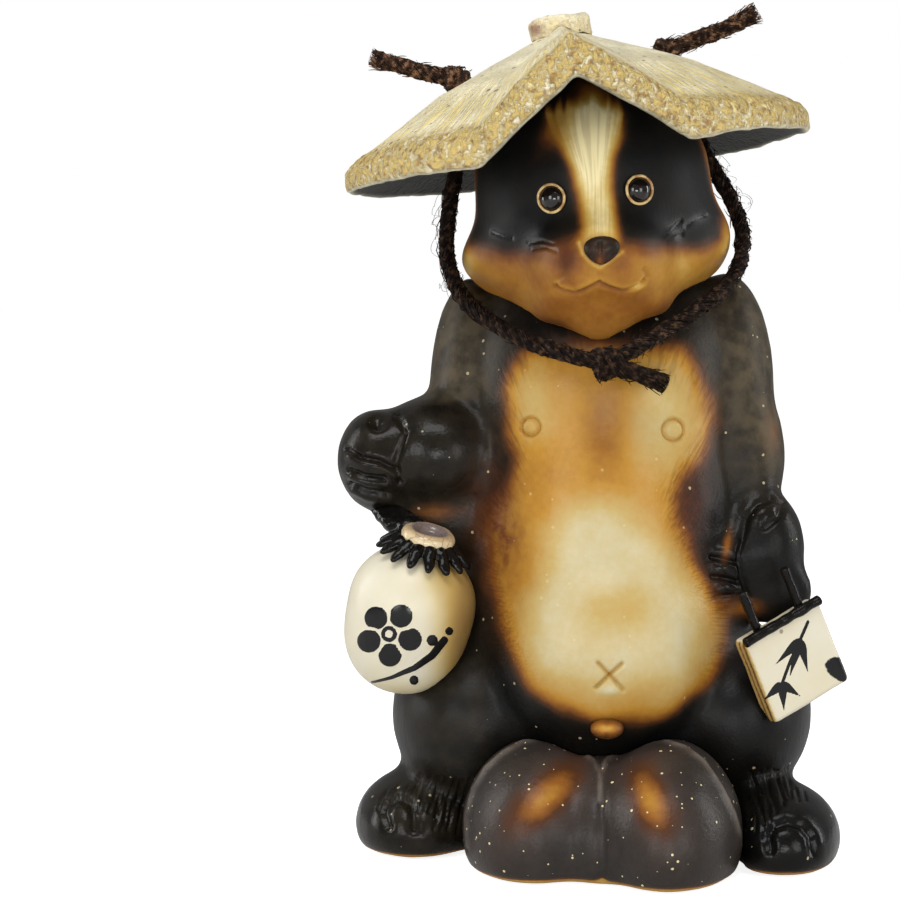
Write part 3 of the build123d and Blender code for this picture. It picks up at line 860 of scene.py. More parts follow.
@dataclass
class Head:
    """The head with its mask, blaze, cheeks, mouth and fur marks."""

    voxel: float = 0.00125
    face_outline: Path2 = ((456, 96), (738, 96), (740, 346), (456, 346))
    nodes: tuple[str, ...] = ("head_casting", "flask_side_ear", "book_side_ear")
    blaze_outline: Path2 = (
        (545, 113), (552, 130), (560, 146), (571, 166), (579, 190), (583, 215), (583, 240), (600, 246),
        (617, 240), (617, 218), (611, 190), (611, 160), (621, 136), (624, 114), (600, 104), (570, 103),
    )
    left_patch: Path2 = (
        (470, 90), (520, 78), (570, 70), (548, 112), (556, 142), (574, 165), (580, 195), (578, 226),
        (560, 240), (530, 246), (500, 246), (470, 238), (455, 215), (458, 150),
    )
    right_patch: Path2 = (
        (570, 70), (640, 72), (690, 92), (708, 130), (716, 180), (720, 214), (716, 236), (690, 242),
        (650, 240), (626, 236), (616, 216), (612, 188), (613, 160), (622, 136), (625, 112), (600, 96),
    )
    mouth: Path2 = (
        (557, 287), (565, 291), (576, 293), (588, 288), (599, 283), (609, 287), (622, 291), (634, 288),
        (643, 281),
    )
    lip_crease: Path2 = ((557, 287), (557, 281), (563, 276))
    smile_crease: Path2 = ((643, 281), (647, 276), (645, 270))
    chin_seam: Path2 = ((594, 292), (588, 305), (590, 322))
    nose_edge: Path2 = ((579, 243), (583, 254), (590, 262), (600, 268), (611, 260), (622, 252))
    whisker_strokes: tuple[Path2, ...] = (
        ((528, 243), (541, 241), (553, 244)), ((533, 249), (545, 247), (556, 251)),
        ((664, 236), (671, 230), (681, 221)), ((669, 242), (676, 237), (682, 235)),
        ((686, 226), (696, 219), (706, 215)), ((492, 232), (502, 236), (512, 238)),
    )
    lip_split: Path2 = ((600, 268), (600, 282))
    blaze_column: float = 598.0
    jowls: tuple[tuple[Spot, Spot, Point3], ...] = (
        ((530, 308), (34, 18), (-0.4, -0.3, -4.6)), ((664, 300), (24, 16), (0.3, -0.3, -2.4)),
        ((598, 328), (34, 14), (0.0, -0.5, -4.2)), ((463, 262), (18, 26), (-2.4, 0.0, -0.4)),
    )
    hollows: tuple[Oval, ...] = (
        Oval((549, 198), (25, 25), 0.9), Oval((636, 190), (25, 25), 0.9), Oval((600, 300), (18, 7), 0.4),
        Oval((572, 280), (15, 9), -0.9, 15), Oval((626, 279), (15, 9), -0.9, -15), Oval((640, 286), (8, 4), -0.6, -30),
    )
    cheeks: tuple[Oval, ...] = (
        Oval((508, 283), (34, 16), 0.45), Oval((682, 268), (36, 20), 0.30), Oval((604, 316), (26, 18), 0.44),
        Oval((466, 266), (11, 22), 0.22), Oval((728, 232), (9, 28), 0.10), Oval((600, 274), (16, 10), 0.40),
        Oval((540, 326), (40, 12), 0.62), Oval((664, 310), (30, 11), 0.56), Oval((650, 262), (16, 10), 0.40),
        Oval((566, 258), (11, 16), 0.66), Oval((622, 262), (9, 10), 0.50), Oval((560, 306), (20, 9), 0.56),
    )
    smile: tuple[Oval, ...] = (Oval((637, 286), (8, 4), 0.20, -30),)
    rust: tuple[Oval, ...] = (
        Oval((520, 256), (44, 9), 0.8), Oval((566, 252), (13, 18), 0.8), Oval((646, 250), (34, 8), 0.55),
    )
    temples: tuple[Oval, ...] = (Oval((672, 120), (22, 20), 0.80), Oval((480, 190), (16, 40), 0.88))
    blaze_glaze: tuple[Oval, ...] = (
        Oval((592, 140), (20, 56), -0.14), Oval((600, 216), (10, 26), 0.06), Oval((553, 130), (13, 24), 0.36, 24, 0.7),
        Oval((600, 240), (14, 6), 0.36, share=0.6),
    )
    blaze_rust: tuple[Oval, ...] = (Oval((550, 136), (8, 24), 0.25, 28),)
    shines: tuple[Oval, ...] = (
        Oval((540, 230), (20, 9), 0.7, -20), Oval((672, 232), (20, 9), 0.7, -20), Oval((520, 215), (20, 9), 0.7, -20),
    )
    crown_rows: Spot = (122, 98)
    hair_foot_rows: Spot = (228, 200)
    fan_rows: Spot = (190, 105)
    tuft_rows: Spot = (150, 105)

    def build(self) -> None:
        """Work, paint and fire the head."""
        plugs = (((0.0, 0.0, 0.194), 0.020, 0.024),)
        clay = Clay("head_clay", self.nodes, self.voxel, 4, plugs, luting=(0.0018, 70))
        clay.refine((clay.patch(self.face_outline, 3.0) > 0.3).astype(float), cuts=1)
        clay.reshape(clay.points + self.jowl(clay))
        self.work(clay)
        self.paint(clay)
        finish = Stoneware(
            "face_glaze", FACE_STOPS, cloud_scale=75.0, cloud_amount=0.24, dry=0.54, wet=0.22, bump=0.16,
            rust=(0.105, 0.026, 0.008), fur=(0.36, 0.20, 0.06), fur_across=1.0, fur_along=1.0, fleck_share=0.03,
        )
        clay.fire(Body.STATUE, "face_glaze", finish.material())

    def jowl(self, clay: Clay) -> Array:
        """The fill that makes the jaw run straight from the cheek to the chin."""
        fill = np.zeros_like(clay.points)
        forward = smooth_step(0.010, -0.015, clay.points[:, 1])
        for center, reach, way in self.jowls:
            away = (clay.spots - np.array(center)) / np.array(reach)
            share = np.exp(-np.sum(away**2, axis=1)) * forward
            fill += share[:, None] * np.array(way) * MM
        return fill

    def work(self, clay: Clay) -> None:
        """Press the sockets, the mouth, the blaze's hairs and the whisker strokes in."""
        clay.roughen(0.010, 0.15, 11)
        for path, width, depth in (
            (self.mouth, 2.0, 1.15), (shifted(self.mouth, 0, -5), 3.0, -0.5), (self.lip_crease, 2.2, 0.6),
            (self.smile_crease, 2.4, 0.8), (self.chin_seam, 3.0, 0.35), (self.lip_split, 1.8, 0.6),
            (self.nose_edge, 2.4, -0.5),
        ):
            clay.groove(width, depth, path)
        clay.push(self.hollows)
        clay.groove(1.6, 0.34, *self.whisker_strokes)
        ridge = clay.patch(self.blaze_outline, 8.0)
        hairs = np.sin(self.across_blaze(clay.spots) * 1.5 + 2.0 * lumps(clay.points, 0.009, 5))
        clay.press(ridge * hairs * smooth_step(*self.hair_foot_rows, clay.spots[:, 1]), 0.08)
        clay.press(ridge, -0.5)

    def across_blaze(self, spots: Array) -> Array:
        """How far each spot lies across the blaze, where its hairs fan out upwards."""
        spread = 0.62 + 0.75 * smooth_step(*self.fan_rows, spots[:, 1])
        return (spots[:, 0] - self.blaze_column) / spread

    def paint(self, clay: Clay) -> None:
        """Lay the mask patches, the blaze, the amber cheeks and the pale jowls."""
        spots, front, points, rows = clay.spots, clay.front, clay.points, clay.spots[:, 1]
        wander = lumps(points, 0.008, 9) * 3.0
        clay.cover(Coat.GLAZE, 0.46)
        clay.dab(Coat.GLAZE, self.cheeks)
        clay.lay(Coat.GLAZE, clay.line(self.mouth, 1.8) * 0.6, 0.60)
        # A painted highlight: a paler line along the raised upper lip.
        clay.lay(Coat.GLAZE, clay.line(shifted(self.mouth, 0, -5), 2.4) * 0.5, 0.30)
        clay.dab(Coat.GLAZE, self.smile)
        clay.dab(Coat.RUST, self.rust)
        clay.lay(Coat.GLAZE, smooth_step(*self.crown_rows, rows) * front, 0.97)
        clay.cover(Coat.WET, 0.3)
        for outline in (self.left_patch, self.right_patch):
            patch = smooth_step(-19.0, 13.0, depth_inside(spots, outline) + wander) * front
            clay.lay(Coat.GLAZE, patch, 0.98)
            clay.lay(Coat.RUST, patch, 0.0)
            clay.lay(Coat.WET, clay.patch(outline, 8.0), 0.0)
        clay.dab(Coat.GLAZE, self.temples)
        clay.lay(Coat.GLAZE, clay.line(self.nose_edge, 2.2) * 0.8, 0.20)
        across = self.across_blaze(spots)
        tufts = np.stack([across * 0.0016, rows * 0.0, rows * 0.0], axis=1)
        inside = depth_inside(spots, self.blaze_outline) + 0.5 * wander
        inside += smooth_step(*self.tuft_rows, rows) * lumps(tufts, 0.004, 6) * 9.0
        blaze = smooth_step(-9.0, 12.0, inside) * front
        clay.lay(Coat.GLAZE, blaze, 0.20)
        clay.dab(Coat.GLAZE, self.blaze_glaze)
        clay.dab(Coat.RUST, self.blaze_rust)
        behind = smooth_step(-0.006, 0.012, points[:, 1])
        clay.lay(Coat.GLAZE, behind, 0.95)
        clay.lay(Coat.MOTTLE_AND_UNDERSIDE_SHADE, behind * smooth_step(0.235, 0.20, points[:, 2]), 0.5)
        clay.vectors["way"] = np.stack([across * 0.26, rows * 0.012, np.zeros(len(spots))], axis=1)
        clay.lay(Coat.FUR, blaze, 0.30)
        for stroke in self.whisker_strokes:
            clay.lay(Coat.WET, clay.line(stroke, 5.0), 0.9)
        clay.dab(Coat.WET, self.shines)


@dataclass
class Hands:
    """The fist over the flask and the paw over the book: folds, thumb, claws and their wet glaze."""

    knuckle_grooves: tuple[Path2, ...] = (
        ((347, 449), (360, 457), (380, 461), (396, 470)),
        ((350, 484), (366, 491), (388, 494)),
        ((350, 470), (364, 476), (384, 478)),
    )
    thumb_edge: Path2 = ((397, 414), (405, 432), (400, 448), (396, 462), (400, 482))
    claws: tuple = (
        ((0.0415, -0.0290, 0.1020), (0.0048, 0.0062, 0.0042)),
        ((0.0408, -0.0300, 0.0950), (0.0048, 0.0062, 0.0040)),
        ((0.0418, -0.0300, 0.0885), (0.0048, 0.0060, 0.0038)),
    )
    claw_grooves: tuple[Path2, ...] = (
        ((712, 557), (724, 560), (736, 563)), ((712, 577), (726, 579), (738, 582)),
        ((716, 597), (728, 597), (740, 596)), ((742, 540), (739, 556), (742, 577), (749, 598)),
    )
    hollows: tuple[Oval, ...] = (
        Oval((377, 424), (8, 7), 2.6), Oval((377, 424), (17, 14), -0.9), Oval((724, 549), (9, 6), -0.8),
        Oval((722, 568), (9, 6), -0.8), Oval((724, 588), (9, 6), -0.8),
    )
    wet: tuple[Oval, ...] = (
        Oval((377, 425), (20, 14), 0.9), Oval((368, 466), (24, 24), 0.9), Oval((764, 512), (26, 16), 0.9),
        Oval((726, 572), (16, 34), 0.9),
    )

    def work(self, clay: Clay) -> None:
        """Press the folds of the fist, the thumb's pit and the claws in."""
        clay.groove(2.6, 1.5, *self.knuckle_grooves, *self.claw_grooves)
        clay.groove(3.4, -0.7, *(shifted(groove, 2, 7) for groove in self.knuckle_grooves))
        clay.groove(3.0, 1.2, self.thumb_edge)
        clay.push(self.hollows)


@dataclass
class Pouch:
    """The two-lobed pouch in front, with its raised outline and the nub above it."""

    voxel: float = 0.00075
    flask_outline: Path2 = (
        (467, 845), (466, 815), (474, 788), (487, 768), (505, 753), (524, 742), (545, 738), (566, 744),
        (582, 753), (594, 762), (600, 775), (600, 800),
    )
    book_outline: Path2 = (
        (600, 775), (606, 761), (622, 752), (640, 744), (660, 739), (684, 748), (703, 763), (719, 785),
        (732, 812), (742, 840), (745, 862),
    )
    seam: Path2 = ((601, 770), (602, 800), (602, 850), (602, 885))
    ambers: tuple[Oval, ...] = (
        Oval((546, 797), (44, 20), 0.38, -42, 0.95), Oval((651, 800), (19, 36), 0.38, -22, 0.95),
    )
    nub_groove: Path2 = ((607, 722), (606, 738))
    # A painted highlight in the middle of the nub.
    nub_painted_highlight: tuple[Oval, ...] = (Oval((606, 728), (13, 6), 0.26),)

    def build(self) -> None:
        """Work, paint and fire the pouch and the nub."""
        clay = Clay("money_pouch_clay", ("money_pouch",), self.voxel, 8, luting=(0.0018, 30))
        clay.roughen(0.010, 0.2, 31)
        clay.groove(2.6, -1.0, self.flask_outline, self.book_outline)
        clay.groove(5.0, 1.2, self.seam)
        clay.cover(Coat.GLAZE, 0.90)
        clay.dab(Coat.GLAZE, self.ambers)
        for amber in self.ambers:
            halo = clay.spot(amber.center, (amber.reach[0] * 1.4, amber.reach[1] * 1.4), amber.lean)
            clay.lay(Coat.RUST, halo * (1.0 - clay.spot(amber.center, amber.reach, amber.lean)), 0.35)
        for outline in (self.flask_outline, self.book_outline):
            clay.lay(Coat.MOTTLE_AND_UNDERSIDE_SHADE, clay.line(outline, 2.2), 1.0)
            clay.lay(Coat.GLAZE, clay.line(outline, 1.8), 0.74)
        clay.cover(Coat.FLECK, 0.9)
        clay.cover(Coat.WET, 0.25)
        clay.bare_foot()
        finish = Stoneware(
            "pouch_glaze", POUCH_STOPS, mottle=(0.14, 0.12, 0.10), fleck_share=0.14, fleck_scale=640.0, dry=0.42,
            bump=0.35,
        )
        clay.fire(Body.STATUE, "dark_glaze", finish.material())
        nub = Clay("small_nub_clay", ("small_nub",), 0.0005, 8)
        nub.groove(3.0, 0.4, self.nub_groove)
        # The nub's darker edges and paler middle are painted shade and a painted highlight that round it.
        nub.cover(Coat.GLAZE, 0.62)
        nub.dab(Coat.GLAZE, self.nub_painted_highlight)
        nub.fire(Body.STATUE, "amber_glaze", Stoneware("nub_glaze", BODY_STOPS, cloud_amount=0.4).material())


@dataclass(frozen=True)
class PlainGlaze:
    """A glaze of two colours in clouds."""

    name: str
    deep: Colour
    thin: Colour
    scale: float
    detail: float
    clouds: Spot | None
    roughness: float
    bump: tuple[float, float]
    bump_scale: float | None = None
    fixed: tuple[tuple[str, float], ...] = ()

    def material(self) -> bpy.types.Material:
        """Build the glaze."""
        material, wiring = new_material(self.name)
        place = wiring.coordinates()
        cloud = wiring.noise(place, self.scale, self.detail)
        if self.clouds:
            cloud = wiring.between(cloud, *self.clouds)
        colour = wiring.mix(cloud, self.deep, self.thin)
        height = wiring.noise(place, self.bump_scale, 2.0) if self.bump_scale else cloud
        wiring.surface(colour, self.roughness, ((height, *self.bump),), dict(self.fixed))
        return material


EYE_RING = PlainGlaze(
    "eye_ring_cream", (0.66, 0.47, 0.20), (0.34, 0.17, 0.05), 420.0, 4.0, (0.40, 0.66), 0.22, (0.12, 0.0003), 1200.0,
)
EYE_BEAD = PlainGlaze(
    "eye_bead_black", (0.004, 0.003, 0.003), (0.012, 0.007, 0.005), 300.0, 2.0, None, 0.03, (0.02, 0.0002),
    fixed=(("Specular IOR Level", 0.55),),
)


@dataclass
class Eyes:
    """A cream ring and a wet black bead in each socket."""

    place: Point3 = (-3.0, -4.0, 221.0)
    turns: Point3 = (0.0, -5.5, 1.0)
    spacing: float = 28.6
    forward: float = 39.16
    drop: float = 2.0
    turn: float = 21.9
    ring_diameter: float = 9.0
    ring_thickness: float = 0.95
    bead_diameter: float = 8.7
    bead_sink: float = 0.40
    ring_unevenness: float = 0.018
    bead_flatness: float = 0.9

    def build(self) -> None:
        """Model both eyes."""
        head = at(*self.place) @ turned(*self.turns)
        ring_finish, bead_finish = EYE_RING.material(), EYE_BEAD.material()
        for side, name in ((-1, "flask_side"), (1, "book_side")):
            place = head @ at(side * self.spacing / 2, -self.forward, -self.drop) @ turned(z=side * self.turn)
            ring = primitive(
                "torus", major_radius=self.ring_diameter / 2 * MM, minor_radius=self.ring_thickness / 2 * MM,
                major_segments=72, minor_segments=20,
            )
            wave = lumps(np.array([vertex.co for vertex in ring.data.vertices]), 0.002, 40 + side)
            for vertex, lift in zip(ring.data.vertices, wave):
                vertex.co *= 1.0 + self.ring_unevenness * lift
            self.seat(ring, name + "_eye_ring", place, ring_finish)
            bead = primitive("uv_sphere", radius=self.bead_diameter / 2 * MM, segments=64, ring_count=32)
            for vertex in bead.data.vertices:
                if vertex.co.z > 0:
                    vertex.co.z *= self.bead_flatness
            sink = at(0.0, self.bead_diameter / 2 * self.bead_sink, 0.0)
            self.seat(bead, name + "_eye_bead", place @ sink, bead_finish)

    def seat(self, piece: bpy.types.Object, node: str, place: Matrix, finish: bpy.types.Material) -> None:
        """Turn a piece to face out of its socket and hand it over.

        Args:
            piece: The ring or the bead.
            node: The CAD node it stands for.
            place: The socket's frame.
            finish: Its material.
        """
        piece.name = node + "_clay"
        piece.data.transform(place @ turned(x=90.0))
        smooth_faces(piece)
        hand_over(piece, Body.STATUE, finish, (node,))


@dataclass
class Nose:
    """The heart-shaped nose pad with its groove."""

    groove: Path2 = ((600, 243), (600, 266))
    nostrils: tuple[Oval, ...] = (Oval((583, 262), (6, 8), 1.2, 40), Oval((617, 260), (6, 8), 1.2, -40))
    tip_light: tuple[Oval, ...] = (Oval((600, 262), (4, 8), 0.55),)
    tip_rust: tuple[Oval, ...] = (Oval((600, 258), (10, 8), 0.3),)
    shine: tuple[Oval, ...] = (Oval((604, 250), (9, 4), 0.7),)

    def build(self) -> None:
        """Work, paint and fire the nose."""
        clay = Clay("nose_clay", ("nose_pad",), 0.00036, 6)
        points = clay.points.copy()
        low, high = points[:, 2].min(), points[:, 2].max()
        middle = points[:, 0].mean()
        share = (points[:, 2] - low) / (high - low)
        points[:, 0] = middle + (points[:, 0] - middle) * (0.42 + 0.70 * np.sqrt(share))
        clay.reshape(points)
        clay.groove(2.2, 0.7, self.groove)
        clay.push(self.nostrils)
        clay.cover(Coat.GLAZE, 0.80)
        clay.dab(Coat.GLAZE, self.tip_light)
        clay.dab(Coat.RUST, self.tip_rust)
        clay.cover(Coat.WET, 0.15)
        clay.dab(Coat.WET, self.shine)
        finish = Stoneware("nose_glaze", BODY_STOPS, cloud_scale=200.0, dry=0.50, bump=0.35)
        clay.fire(Body.STATUE, "nose_glaze", finish.material())


@dataclass(frozen=True)
class HatSlip:
    """Matt cream slip, combed, speckled, ochre and crumbly at the rim, dark grey below, where dark paint and painted
    shade are laid together.
    """

    name: str
    slip: tuple[Colour, Colour] = ((0.68, 0.62, 0.43), (0.86, 0.79, 0.56))
    grit: Colour = (0.36, 0.30, 0.18)
    combed: Colour = (0.86, 0.66, 0.20)
    ochre: tuple[Colour, Colour] = ((0.60, 0.44, 0.15), (0.32, 0.19, 0.065))
    speck: Colour = (0.16, 0.13, 0.09)
    # The underside's dark paint with painted shade laid into it.
    below: tuple[Colour, Colour] = ((0.007, 0.006, 0.004), (0.022, 0.020, 0.014))
    scar: Colour = (0.30, 0.17, 0.11)
    roughness: Spot = (0.52, 0.72)

    def material(self) -> bpy.types.Material:
        """Build the slip."""
        material, wiring = new_material(self.name)
        place = wiring.coordinates()
        way = wiring.vector("way")
        combing = wiring.group("Comb strokes", {"Vector": way, "Across": 62.0, "Along": 70.0})
        comb_share = wiring.times(wiring.coat(Coat.FUR), combing)
        tone = wiring.between(wiring.noise(place, 70.0, 5.0), 0.38, 0.62)
        colour = wiring.mix(tone, *self.slip)
        grit = wiring.between(wiring.noise(place, 800.0, 3.0), 0.45, 0.70)
        colour = wiring.mix(wiring.times(grit, 0.35), colour, self.grit)
        colour = wiring.mix(wiring.times(comb_share, 0.75), colour, self.combed)
        crumbs = wiring.noise(place, 520.0, 4.0)
        rim_share = wiring.times(wiring.coat(Coat.GLAZE), wiring.between(crumbs, 0.28, 0.56))
        ochre = wiring.mix(wiring.between(wiring.noise(place, 420.0, 4.0), 0.46, 0.68), *self.ochre)
        colour = wiring.mix(rim_share, colour, ochre)
        specks = wiring.group("Kiln specks", {"Vector": place, "Scale": 380.0, "Share": 0.30})
        speck_share = wiring.times(specks, wiring.coat(Coat.FLECK))
        colour = wiring.mix(wiring.times(speck_share, 0.75), colour, self.speck)
        # Painted shade: the underside colour is the hat's dark paint, deepened to stand in for the shade under the
        # brim.
        under = wiring.mix(wiring.noise(place, 160.0, 5.0), *self.below)
        colour = wiring.mix(wiring.coat(Coat.MOTTLE_AND_UNDERSIDE_SHADE), colour, under)
        colour = wiring.mix(wiring.coat(Coat.RUST), colour, self.scar)
        grain = wiring.noise(place, 700.0, 4.0)
        height = wiring.plus(grain, wiring.times(comb_share, 1.1))
        height = wiring.plus(height, wiring.times(rim_share, wiring.times(crumbs, 3.0)))
        roughness = wiring.blend(wiring.coat(Coat.GLAZE), *self.roughness)
        wiring.surface(colour, roughness, ((height, 0.9, 0.0008),), {"Specular IOR Level": 0.3})
        return material


@dataclass
class Hat:
    """The folded sedge hat in cream clay with a rough ochre rim and combed sides."""

    frame_place: Point3 = (-6.6, -2.0, 221.0)
    frame_turns: tuple[float, float, float] = (-3.8, -8.0, 5.0)
    radius: float = 0.0785
    voxel: float = 0.00088
    ridge_drop: float = 0.0035
    corner_drop: float = 0.0016
    brim_drop: float = 0.0026
    ridge_swing: float = 3.0
    knob_scar: Oval = Oval((535, 30), (8, 7), 1.0)

    def build(self) -> None:
        """Work, paint and fire the hat and its knob."""
        pitch, roll, yaw = self.frame_turns
        place = at(*self.frame_place) @ turned(x=pitch) @ turned(y=roll) @ turned(z=yaw)
        clay = Clay("hat_clay", ("hat_shell",), self.voxel, 11)
        clay.reshape(self.folded(clay, place))
        local, lift, reach, angle = self.bearings(clay, place)
        rim = smooth_step(self.radius - 0.011, self.radius - 0.002, reach)
        outer = smooth_step(self.radius - 0.0045, self.radius - 0.001, reach)
        top = smooth_step(-0.15, 0.25, lift)
        fold_edge = smooth_step(30.0, 20.0, np.abs(angle)) * smooth_step(-0.75, -0.2, lift)
        clay.roughen(0.016, 0.35, 51)
        clay.roughen(0.0045, 0.12, 52)
        clay.shift += rim * np.maximum(top, fold_edge) * lumps(clay.points, 0.0026, 53) * 0.7 * MM
        clay.shift += outer * lumps(clay.points, 0.007, 54) * 0.45 * MM
        # Faces turned down get the dark underside colour: the hat's dark paint together with painted shade.
        under = smooth_step(-0.15, -0.45, lift)
        clay.coats[Coat.GLAZE] = rim * np.maximum(smooth_step(-0.85, -0.30, lift), fold_edge)
        clay.coats[Coat.MOTTLE_AND_UNDERSIDE_SHADE] = under * smooth_step(self.radius, self.radius - 0.004, reach)
        clay.coats[Coat.FUR] = smooth_step(0.030, 0.062, reach) * top
        clay.coats[Coat.FLECK] = top
        unit = local[:, :2] / np.maximum(reach, 1e-5)[:, None]
        clay.vectors["way"] = np.concatenate([unit, reach[:, None]], axis=1)
        clay.fire(Body.HAT, "hat_glaze", HatSlip("hat_cream").material())
        self.build_knob()

    def bearings(self, clay: Clay, place: Matrix) -> tuple[Array, Array, Array, Array]:
        """Where the hat's points lie in its own frame.

        Args:
            clay: The skin of the hat.
            place: The hat's frame.

        Returns:
            The points, how far each faces up, how far out it lies, and its angle from the front in degrees.
        """
        local = in_frame(place, clay.points)
        lift = (clay.normals @ np.array(place)[:3, :3])[:, 2]
        reach = np.linalg.norm(local[:, :2], axis=1)
        return local, lift, reach, np.degrees(np.arctan2(local[:, 0], -local[:, 1]))

    def folded(self, clay: Clay, place: Matrix) -> Array:
        """The shell's points with its ridge swung a little aside and its front edge thicker."""
        local, lift, reach, angle = self.bearings(clay, place)
        down = smooth_step(0.25, -0.5, lift)
        near_rim = smooth_step(self.radius - 0.022, self.radius - 0.003, reach)
        ridge = smooth_step(34.0, 0.0, np.abs(angle))
        corner = np.exp(-(((np.abs(angle) - 26.0) / 12.0) ** 2))
        brim = smooth_step(120.0, 40.0, np.abs(angle))
        local[:, 2] -= down * near_rim * (self.ridge_drop * ridge + self.corner_drop * corner + self.brim_drop * brim)
        swung = np.radians(angle - self.ridge_swing * smooth_step(100.0, 45.0, np.abs(angle)))
        local[:, 0] = reach * np.sin(swung)
        local[:, 1] = -reach * np.cos(swung)
        matrix = np.array(place)
        return local @ matrix[:3, :3].T + matrix[:3, 3]

    def build_knob(self) -> None:
        """The lump of clay on top, pinched uneven."""
        knob = Clay("hat_knob_clay", ("hat_knob",), 0.00055, 8)
        knob.roughen(0.005, 0.6, 55)
        knob.roughen(0.0018, 0.25, 56)
        low = smooth_step(0.280, 0.276, knob.points[:, 2])
        knob.coats[Coat.GLAZE] = np.clip(0.4 * low + 0.06 * (1 + lumps(knob.points, 0.004, 57)), 0, 1)
        knob.cover(Coat.FLECK, 1.0)
        knob.dab(Coat.RUST, (self.knob_scar,))
        knob.vectors["way"] = knob.points * 0.2
        knob.fire(Body.HAT, "hat_glaze", HatSlip("knob_cream").material())


@dataclass(frozen=True)
class BrushedCream:
    """Cream glaze with glossy black brush marks and golden stains."""

    name: str
    stops: tuple = (
        (0.0, (0.66, 0.62, 0.50)), (0.18, (0.60, 0.50, 0.28)), (0.36, (0.46, 0.31, 0.10)),
        (0.60, (0.20, 0.10, 0.03)), (1.0, (0.03, 0.02, 0.012)),
    )
    speck: Colour = (0.10, 0.07, 0.05)
    ink: Colour = (0.008, 0.008, 0.008)
    roughness: Spot = (0.34, 0.20)

    def material(self) -> bpy.types.Material:
        """Build the glaze."""
        material, wiring = new_material(self.name)
        place = wiring.coordinates()
        clouds = wiring.group("Glaze clouds", {"Vector": place, "Scale": 70.0, "Amount": 0.14})
        colour = wiring.ramp(wiring.plus(wiring.coat(Coat.GLAZE), clouds, clamp=True), self.stops)
        specks = wiring.group("Kiln specks", {"Vector": place, "Scale": 360.0, "Share": 0.035})
        colour = wiring.mix(wiring.times(specks, 0.6), colour, self.speck)
        edge = wiring.group("Glaze clouds", {"Vector": place, "Scale": 500.0, "Amount": 0.35})
        brush = wiring.between(wiring.plus(wiring.coat(Coat.FUR), edge), 0.42, 0.52)
        colour = wiring.mix(brush, colour, self.ink)
        height = wiring.plus(wiring.times(wiring.noise(place, 700.0, 2.0), 0.4), brush)
        roughness = wiring.blend(brush, *self.roughness)
        wiring.surface(colour, roughness, ((height, 0.25, 0.0003),), {"Specular IOR Level": 0.28})
        return material


@dataclass(frozen=True)
class LipGlaze:
    """Thick cream glaze, lilac in the dish, crazed at the front."""

    cream: tuple[Colour, Colour] = ((0.62, 0.50, 0.30), (0.72, 0.60, 0.38))
    stain: Colour = (0.30, 0.15, 0.05)
    dish: Colour = (0.13, 0.095, 0.105)
    crack: Colour = (0.10, 0.055, 0.03)

    def material(self) -> bpy.types.Material:
        """Build the glaze."""
        material, wiring = new_material("lip_cream")
        place = wiring.coordinates()
        cloud = wiring.between(wiring.noise(place, 300.0, 4.0), 0.35, 0.65)
        colour = wiring.mix(cloud, *self.cream)
        colour = wiring.mix(wiring.coat(Coat.GLAZE), colour, self.stain)
        colour = wiring.mix(wiring.coat(Coat.RUST), colour, self.dish)
        cells = wiring.node("ShaderNodeTexVoronoi", {"Vector": place, "Scale": 260.0}, feature="DISTANCE_TO_EDGE")
        crack = wiring.between(cells.outputs["Distance"], 0.035, 0.0)
        colour = wiring.mix(wiring.times(crack, 0.6), colour, self.crack)
        wiring.surface(colour, 0.12, ((crack, 0.2, 0.0002),), {})
        return material


